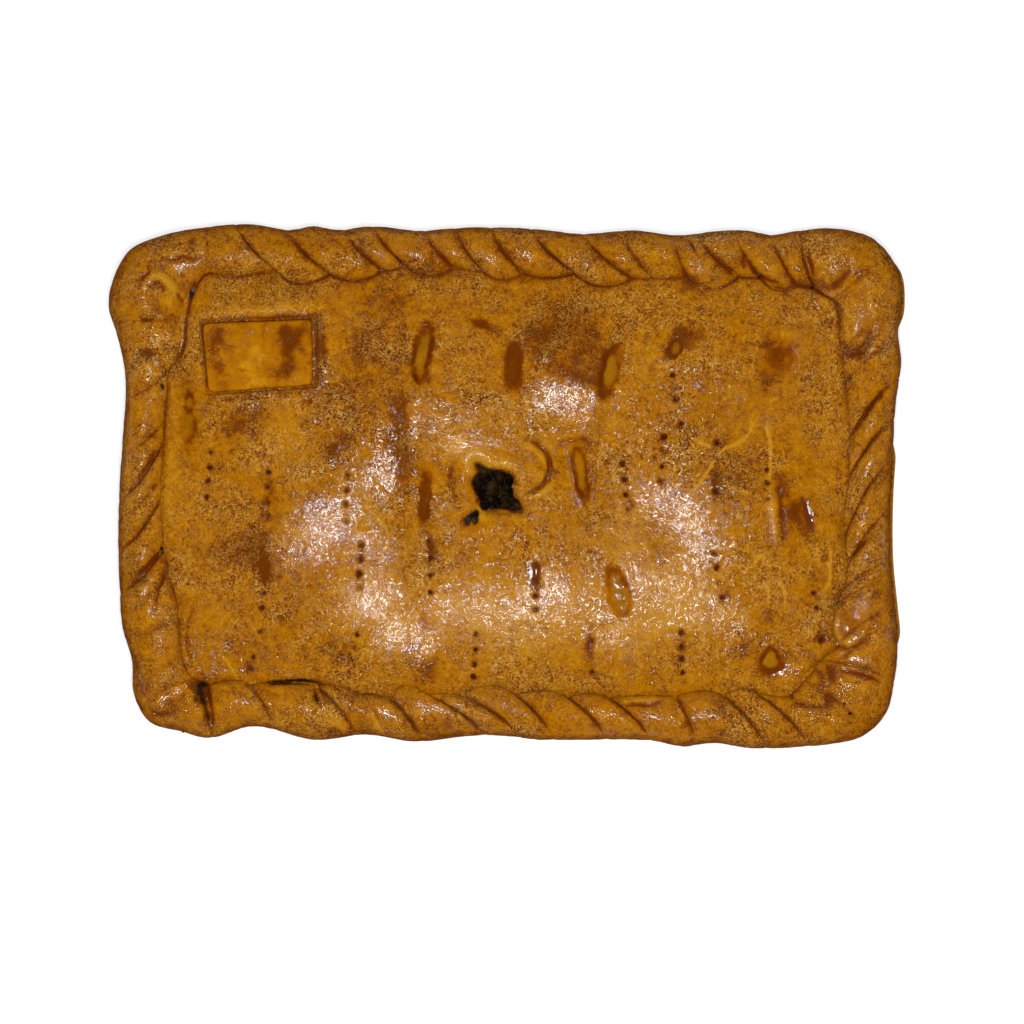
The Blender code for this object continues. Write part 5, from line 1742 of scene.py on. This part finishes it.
@dataclass
class Lid(Piece):
    """The lid of rolled dough, with its vent, tear, slits, pricks and the bed of the tag."""

    inner: Loop
    rope_line: Array
    pillow: Pillow = field(default_factory=Pillow)
    step: float = 0.98
    tuck: float = 7.0
    thickness: float = 5.5
    under_step: float = 7.0
    edge_step: float = 1.7
    bed_floor: float = 21.2
    bed_wall: float = 0.55
    crevice: float = 1.0
    hole_radius: float = 2.1
    hole_depth: float = 1.7

    def torn(self, outline: Array, number: int, fray: float = 1.0) -> Array:
        """A ragged outline of a tear, from its corners."""
        loop = Loop(smooth_line(outline, 12))
        s = loop.paces(0.8)
        points = loop.at(s)
        swing = 0.65 * cloud(2.6, number, *points.T) + 0.45 * cloud(1.1, number + 1, *points.T)
        return points + fray * swing[:, None] * loop.outward(s, 1.5)

    def slit_marks(self, marks: Marks, x: Array, y: Array) -> None:
        """Adds the steam slits to the marks at points.

        Args:
            marks: the marks.
            x: the points' X.
            y: the points' Y.
        """
        warped_x = x + 0.8 * cloud(4.6, 9, x, y) + 0.4 * cloud(1.7, 22, x, y)
        warped_y = y + 0.8 * cloud(4.6, 23, x, y)
        uneven = 1.0 + 0.4 * cloud(3.0, 24, x, y)
        for slit in SLITS:
            crumb, rim, wash, floor, gloss = slit.kind.value
            dx, dy = turned(warped_x, warped_y, slit.place, math.radians(slit.lean))
            half_x = slit.half[0] * (1.0 - slit.taper * np.clip(dy / slit.half[1], -1.0, 1.0))
            away = np.sqrt((dx / half_x) ** 2 + np.abs(dy / slit.half[1]) ** 2.4)
            hollow, cushion = window(away, 0.5, 0.45), window(away, 0.1, 0.45)
            marks.relief += slit.depth * (0.22 * cushion * uneven - hollow)
            marks.relief += 0.15 * bell(away - 1.2, 0.25)
            inner = window(away, 0.34, 0.3)
            ring = bell(away - 0.78, 0.3) * uneven
            ring *= np.clip(1.0 + slit.side * dx / half_x, 0.2, 1.7)
            marks.browning *= 1.0 - 0.9 * inner
            marks.browning += rim * ring + floor * inner * uneven
            marks.crumb = np.maximum(marks.crumb, crumb * inner)
            marks.wash = np.maximum(marks.wash, wash * ring)
            marks.glaze = np.maximum(marks.glaze, 0.85 * window(away, 0.9, 0.25))
            marks.shine += gloss * window(away, 0.9, 0.3)

    def vent_marks(self, marks: Marks, x: Array, y: Array) -> None:
        """Adds the lips of the vent and of the tear beside it to the marks at points.

        Args:
            marks: the marks.
            x: the points' X.
            y: the points' Y.
        """
        for outline, size in ((VENT, 1.0), (TEAR, 0.6)):
            line = smooth_line(outline, 8)
            near = np.flatnonzero(np.hypot(x - line[:, 0].mean(), y - line[:, 1].mean()) < 32.0)
            away, _ = nearest_on_line(np.vstack((line, line[:1])), x[near], y[near])
            above = np.clip((y[near] - 2.0) / 6.0, 0.0, 1.0)
            uneven = 1.0 + 0.5 * cloud(4.0, 25, x[near], y[near])
            marks.relief[near] += -2.4 * size * bell(away, 2.2)
            marks.relief[near] += 0.5 * size * bell(away - 4.6, 3.2) * uneven
            marks.browning[near] += 0.9 * bell(away, 1.1) * uneven
            # The raised lip is paler, most on its upper side: dough stretched thin there, and painted
            # highlight on the upper side
            marks.browning[near] -= 0.45 * size * bell(away - 3.4, 2.2) * (0.3 + above)
            marks.ink[near] += 0.6 * uneven * bell(away, size)
            marks.shine[near] += 0.35 * bell(away - 3.5, 3.0) * above

    def marks(self, x: Array, y: Array) -> Marks:
        """All marks on the lid's upper side."""
        marks = Marks.baked(x, y)
        marks.fold(LID_FOLDS, x, y)
        self.slit_marks(marks, x, y)
        self.vent_marks(marks, x, y)
        rim = np.full(len(x), 99.0)
        near = np.flatnonzero(~inside(self.inner.inset(14.0, 4.0), x, y))
        rim[near] = distances(tree_of(self.rope_line), x[near], y[near])
        uneven = 1.0 + 0.6 * cloud(14.0, 10, x, y)
        marks.relief -= self.crevice * uneven * bell(rim, 1.5)
        far_side = np.clip(0.5 + y / 60.0, 0.0, 1.0)
        marks.wash = np.maximum(marks.wash, uneven * bell(rim, 1.1) * (0.3 + 0.6 * far_side))
        marks.shine += 0.9 * far_side * np.clip(uneven, 0.0, 1.5) * bell(rim, 1.6)
        near = np.flatnonzero(np.hypot(x + 122.0, y - 65.0) < 45.0)
        wall, _ = nearest_on_line(np.vstack((TAG_BED, TAG_BED[:1])), x[near], y[near])
        # Along the bed's wall the browning is painted shade in the groove round the tag, made stronger on
        # its upper and right side; the egg wash pooled there is its own colour
        upper = 0.6 + 0.4 * np.clip((y[near] - 65.0 + 0.4 * (x[near] + 122.0)) / 20.0, -1.0, 1.0)
        pooled = 0.35 * uneven[near] * bell(wall, 0.8)
        marks.wash[near] = np.maximum(marks.wash[near], pooled)
        marks.browning[near] += 0.45 * upper * uneven[near] * bell(wall, 2.0)
        # Near-black patches along the rope's tips: ink that seeped out, and painted shade under the tips
        marks.ink += 0.5 * np.clip(uneven - 0.6, 0.0, 1.0) * bell(rim, 0.8)
        # The band of crumb colour beside the rope is painted shade under its overhang
        olive = np.clip(cloud(22.0, 11, x, y) + 0.2, 0.0, 1.0)
        marks.crumb = np.maximum(marks.crumb, 0.35 * olive * bell(rim, 4.0))
        return marks

    def prick_places(self) -> Array:
        """The places of all fork holes, which a hand doesn't set quite in line."""
        places = np.vstack([row.points() for row in PRICK_ROWS])
        return places + np.random.default_rng(SEED).uniform(-0.35, 0.35, places.shape)

    def build(self) -> Obj:
        """Makes the lid.

        Returns:
            The lid.
        """
        outline = self.inner.inset(-self.tuck, self.edge_step)
        holes = [self.torn(VENT, 12), self.torn(TEAR, 14, 0.3)]
        bed, bed_foot = rounded(TAG_BED, 0.0), rounded(TAG_BED, self.bed_wall)
        pricks = self.prick_places()
        angles = np.arange(6) * math.pi / 3
        circle = np.stack((np.cos(angles), np.sin(angles)), axis=1)
        dots = [(pricks[:, None] + radius * circle).reshape(-1, 2) for radius in (0.6, 1.25)]
        dots = np.vstack((pricks, *dots))
        flat, triangles, rings = FlatNet(outline, holes, [bed, bed_foot], dots, self.step).build()
        x, y = flat.T
        marks = self.marks(x, y)
        z = self.pillow.height(x, y) + marks.relief
        sunk = inside(bed_foot, x, y)
        sunk[rings[4]] = True
        z = np.where(sunk, self.bed_floor + 0.15 * cloud(3.0, 13, x, y), z)
        # The bed's floor is darkened a little, as painted shade in the gap round the tag
        marks.browning += np.where(sunk, 0.15, 0.0)
        shell = Shell()
        shell.add_net(flat, z, triangles)
        under, under_triangles, under_rings = FlatNet(outline, holes, step=self.under_step).build()
        roof = self.pillow.plain(*under.T) - self.thickness
        numbers = shell.add_net(under, roof, under_triangles, down=True)
        for ring, under_ring in zip(rings[:3], under_rings):
            top = np.column_stack((flat[ring], z[ring]))
            low = np.column_stack((under[under_ring], roof[under_ring]))
            last = ring
            for share in (0.25, 0.5, 0.75):
                band = shell.add_points(top * (1 - share) + low * share)
                shell.bridge(last, band)
                last = band
            shell.bridge(last, numbers[under_ring])
        obj = shell.mesh_object("lid")
        marks.store(obj.data, crumb=0.7, ink=0.45)
        self.shaped(obj, self.trees.skin)
        heights = self.pillow.height(*pricks.T)
        marker = meshed("prick_places", np.column_stack((pricks, heights)), [])
        self.shaped(
            obj, self.trees.pricks, places=marker, hole_radius=self.hole_radius * MM,
            hole_depth=self.hole_depth * MM,
        )
        bpy.data.objects.remove(marker)
        return declared(obj, "crust")


def rounded(corners: Array, drawn_in: float, radius: float = 3.2) -> Array:
    """A four-sided outline with round corners.

    Args:
        corners: the four corners.
        drawn_in: how far the outline is drawn in from them.
        radius: the radius of its corners, about.

    Returns:
        The outline's points.
    """
    middle = corners.mean(axis=0)
    away = corners - middle
    shrunk = middle + away * (1.0 - drawn_in * 1.4 / np.linalg.norm(away, axis=1))[:, None]
    points = []
    for before, corner, after in zip(np.roll(shrunk, 1, 0), shrunk, np.roll(shrunk, -1, 0)):
        start = corner + radius * (before - corner) / np.linalg.norm(before - corner)
        end = corner + radius * (after - corner) / np.linalg.norm(after - corner)
        for t in np.linspace(0.0, 1.0, 6):
            points.append((1 - t) ** 2 * start + 2 * t * (1 - t) * corner + t * t * end)
    loop = Loop(np.array(points))
    return loop.at(loop.paces(0.95))


@dataclass
class BaseSheet(Piece):
    """The base sheet, which peeps out from under the rope at the right."""

    outer: Loop
    thickness: float = 4.0
    inset: float = 1.3
    peep: float = 3.4
    peep_stretches: tuple[Pair, ...] = ((96.0, 17.0), (-29.0, 50.0))
    peep_blend: float = 16.0
    peep_from: float = 158.0
    # Share of the thickness and how far the rounded edge is drawn in there
    edge: tuple[Pair, ...] = (
        (0.0, 0.9), (0.12, 0.3), (0.35, 0.0), (0.7, 0.15), (0.92, 0.6), (1.0, 1.4),
    )

    def outline(self, drawn_in: float) -> Array:
        """The sheet's outline, drawn in by a distance."""
        points = self.outer.inset(self.inset + drawn_in, 1.6)
        peep = sum(
            window(np.abs(points[:, 1] - middle), half - self.peep_blend / 2, self.peep_blend)
            for middle, half in self.peep_stretches
        )
        points[:, 0] += np.where(points[:, 0] > self.peep_from, self.peep * peep, 0.0)
        return points

    def build(self) -> Obj:
        """Makes the base sheet.

        Returns:
            The base sheet.
        """
        shell = Shell()
        last = None
        for share, drawn_in in self.edge:
            points = self.outline(drawn_in)
            heights = np.full(len(points), share * self.thickness)
            ring = shell.add_points(np.column_stack((points, heights)))
            if last is not None:
                shell.bridge(last, ring)
            last = ring
        for share, drawn_in in (self.edge[0], self.edge[-1]):
            flat, triangles, _ = FlatNet(self.outline(drawn_in), step=6.0).build()
            shell.add_net(flat, share * self.thickness, triangles)
        obj = shell.mesh_object("base_sheet")
        face_outward(obj.data, 0.02 * MM)
        x, y, _ = points_of(obj).T
        marks = Marks.blank(len(x))
        marks.browning = 0.2 * cloud(18.0, 15, x, y)
        marks.store(obj.data)
        obj.data.materials.append(self.finish)
        return declared(obj, "crust")


@dataclass
class Filling(Piece):
    """The ink-black filling, smooth under the lid and heaped with strands in the vent."""

    inner: Loop
    pillow: Pillow = field(default_factory=Pillow)
    inset: float = 3.3
    floor: float = 5.3
    under_lid: float = 5.8
    heap_box: tuple[float, float, float, float] = (-26.0, -27.0, 16.0, 17.0)
    heap_step: float = 0.8
    heap_height: float = 1.6
    strand_density: float = 52000.0

    def top(self, x: Array, y: Array) -> Array:
        """The height of the filling's upper side."""
        flat = self.pillow.plain(x, y) - self.under_lid
        away = np.hypot((x + 5.0) / 15.0, (y + 3.0) / 14.0)
        lumps = 0.6 * cloud(4.5, 16, x, y) + 0.4 * cloud(1.8, 17, x, y)
        return flat + self.heap_height * window(away, 0.7, 0.6) * (0.2 + lumps)

    def build(self) -> list[Obj]:
        """Makes the filling and the strands that show in the vent.

        Returns:
            Both objects.
        """
        outline = self.inner.inset(self.inset, 3.0)
        net = FlatNet(outline, step=self.heap_step, fine_box=self.heap_box)
        flat, triangles, rings = net.build()
        shell = Shell()
        shell.add_net(flat, self.top(*flat.T), triangles)
        low, low_triangles, low_rings = FlatNet(outline, step=12.0).build()
        numbers = shell.add_net(low, self.floor, low_triangles, down=True)
        shell.bridge(rings[0], numbers[low_rings[0]])
        body = shell.mesh_object("ink_filling")
        body.data.materials.append(self.finish)
        patch = Shell()
        flat, triangles, _ = FlatNet(smooth_line(VENT, 4), step=2.0).build()
        patch.add_net(flat, self.top(*flat.T) + 0.1, triangles)
        strands = patch.mesh_object("stewed_strands")
        self.shaped(strands, self.trees.strands, density=self.strand_density)
        return [declared(body, "filling"), declared(strands, "filling")]


@dataclass
class DoughTag(Piece):
    """The small rectangle of dough that was pressed onto the lid."""

    low: float = 21.5
    thickness: float = 2.8
    step: float = 0.8
    rounding: float = 1.5
    corner_radius: float = 3.5

    def build(self) -> Obj:
        """Makes the tag.

        Returns:
            The tag.
        """
        outline = rounded(TAG_EDGE, 0.0, self.corner_radius)
        flat, triangles, rings = FlatNet(outline, step=self.step).build()
        x, y = flat.T
        marks = Marks.blank(len(x))
        marks.browning = 0.95 * ragged_patches(TAG_BROWNING, x, y) - 0.1
        marks.glaze = 0.75 + 0.2 * cloud(8.0, 27, x, y)
        marks.shine -= 0.35
        marks.fold(TAG_FOLDS, x, y)
        away, _ = nearest_on_line(np.vstack((outline, outline[:1])), x, y)
        drop = np.clip(1.0 - away / self.rounding, 0.0, 1.0)
        z = self.low + self.thickness - self.rounding * (1.0 - np.sqrt(1.0 - 0.95 * drop**2))
        z += marks.relief + 0.25 * cloud(9.0, 18, x, y) * np.clip(away / 3.0, 0.0, 1.0)
        # The rounded edge takes the wash colour: egg gathered there, and painted shade of the groove
        # round the tag
        marks.wash = np.maximum(marks.wash, 0.6 * drop**2)
        shell = Shell()
        shell.add_net(flat, z, triangles)
        low = shell.add_net(flat, self.low, triangles, down=True)
        shell.bridge(rings[0], low[rings[0]])
        obj = shell.mesh_object("dough_tag_piece")
        marks.store(obj.data)
        self.shaped(obj, self.trees.skin, wrinkle_height=0.18 * MM)
        return declared(obj, "dough_tag")


@dataclass
class Specks(Piece):
    """The specks and the thread of ink that baked onto the crust."""

    crust: list[Obj]
    sunk: float = 0.05
    thread_radius: float = 0.32
    lowest: float = 14.0

    def build(self) -> Obj:
        """Makes the specks.

        Returns:
            The specks.
        """
        draw = np.random.default_rng(SEED)
        places, radii = [], []
        for specks in SPECKS:
            angle = draw.uniform(0.0, 2 * math.pi, specks.count)
            away = np.sqrt(draw.uniform(0.0, 1.0, specks.count))
            oval = away[:, None] * np.stack((np.cos(angle), np.sin(angle)), axis=1)
            places.append(specks.place + oval * specks.half)
            radii.append(specks.radius * draw.uniform(0.6, 1.3, specks.count))
        thread = smooth_line(np.array(INK_THREAD), 12, closed=False)
        places = np.vstack((*places, thread))
        radii.append(np.full(len(thread), self.thread_radius))
        surface = np.vstack([points_of(obj) for obj in self.crust])
        surface = surface[surface[:, 2] > self.lowest]
        tree = tree_of(surface[:, :2])
        top = [
            max(surface[number, 2] for _, number, _ in tree.find_n((*place, 0.0), 5))
            for place in places.tolist()
        ]
        obj = meshed("ink_specks", np.column_stack((places, np.array(top) - self.sunk)), [])
        write(obj.data, "radius", np.concatenate(radii))
        self.shaped(obj, self.trees.specks, speck_radius=MM)
        return declared(obj, "filling")


@dataclass(frozen=True)
class Studio:
    """A white table, soft light from near the camera, and a camera straight above the pie."""

    camera_place: Pair = (3.5, -12.7)
    camera_height: float = 4600.0
    frame_width: float = 509.0
    pie_height: float = 16.0
    sensor: float = 36.0
    floor_half: float = 3000.0
    key_lean: float = 5.0
    key_side: float = 0.5
    key_distance: float = 1500.0
    key_size: float = 300.0
    key_power: float = 21.0
    zenith: float = 0.05
    horizon: float = 0.4

    def build(self) -> None:
        """Makes the floor, the lights and the camera."""
        scene = bpy.context.scene
        scene.view_settings.view_transform = "Standard"
        corners = np.array(((-1, -1, 0), (1, -1, 0), (1, 1, 0), (-1, 1, 0))) * self.floor_half
        floor = meshed("table_top", corners, [(0, 1, 2, 3)])
        floor.data.materials.append(StudioFloor().build())
        light = bpy.data.lights.new("softbox", "AREA")
        light.shape = "DISK"
        light.size = self.key_size * MM
        light.energy = self.key_power
        light.color = linear("#FFFFFF")[:3]
        lamp = placed("softbox", light)
        lean, side = math.radians(self.key_lean), math.radians(self.key_side)
        away = Vector((math.sin(side), -math.sin(lean), math.cos(lean))).normalized()
        lamp.location = away * self.key_distance * MM
        lamp.rotation_euler = away.to_track_quat("Z", "Y").to_euler()
        world = bpy.data.worlds.new("studio")
        world.use_nodes = True
        sky = world.node_tree
        # The walls of the studio are bright and its ceiling is dark, so flat dough stays clear
        toward = add_node(sky, "ShaderNodeTexCoord").outputs["Generated"]
        up = add_node(sky, "ShaderNodeSeparateXYZ", {"Vector": toward}).outputs["Z"]
        up = add_node(sky, MATH, (up, up), "MULTIPLY")
        shade = (up, self.zenith - self.horizon, self.horizon)
        level = add_node(sky, MATH, shade, "MULTIPLY_ADD")
        background = sky.nodes["Background"].inputs
        sky.links.new(level.outputs[0], background["Strength"])
        background["Color"].default_value = linear("#FFFFFF")
        scene.world = world
        camera = placed("camera", bpy.data.cameras.new("camera"))
        camera.data.sensor_width = self.sensor
        distance = self.camera_height - self.pie_height
        camera.data.lens = self.sensor * distance / self.frame_width
        camera.data.clip_end = 20.0
        camera.location = (*(c * MM for c in self.camera_place), self.camera_height * MM)
        scene.camera = camera


def main() -> None:
    """Builds the empanada's pieces and the studio."""
    logging.basicConfig(level=logging.INFO, format="%(message)s")
    trees = Trees()
    dough = BakedDough().build()
    stew = InkStew().build()
    outer, inner = fitted_outer_edge(), Loop(smooth_line(INNER_EDGE, 24))
    rope = RopeEdge(trees, dough, outer, inner)
    edge = rope.build()
    top = Lid(trees, dough, inner, rope.lid_line()).build()
    BaseSheet(trees, dough, outer).build()
    Filling(trees, stew, inner).build()
    DoughTag(trees, dough).build()
    Specks(trees, stew, [edge, top]).build()
    Studio().build()


if __name__ == "__main__":
    main()
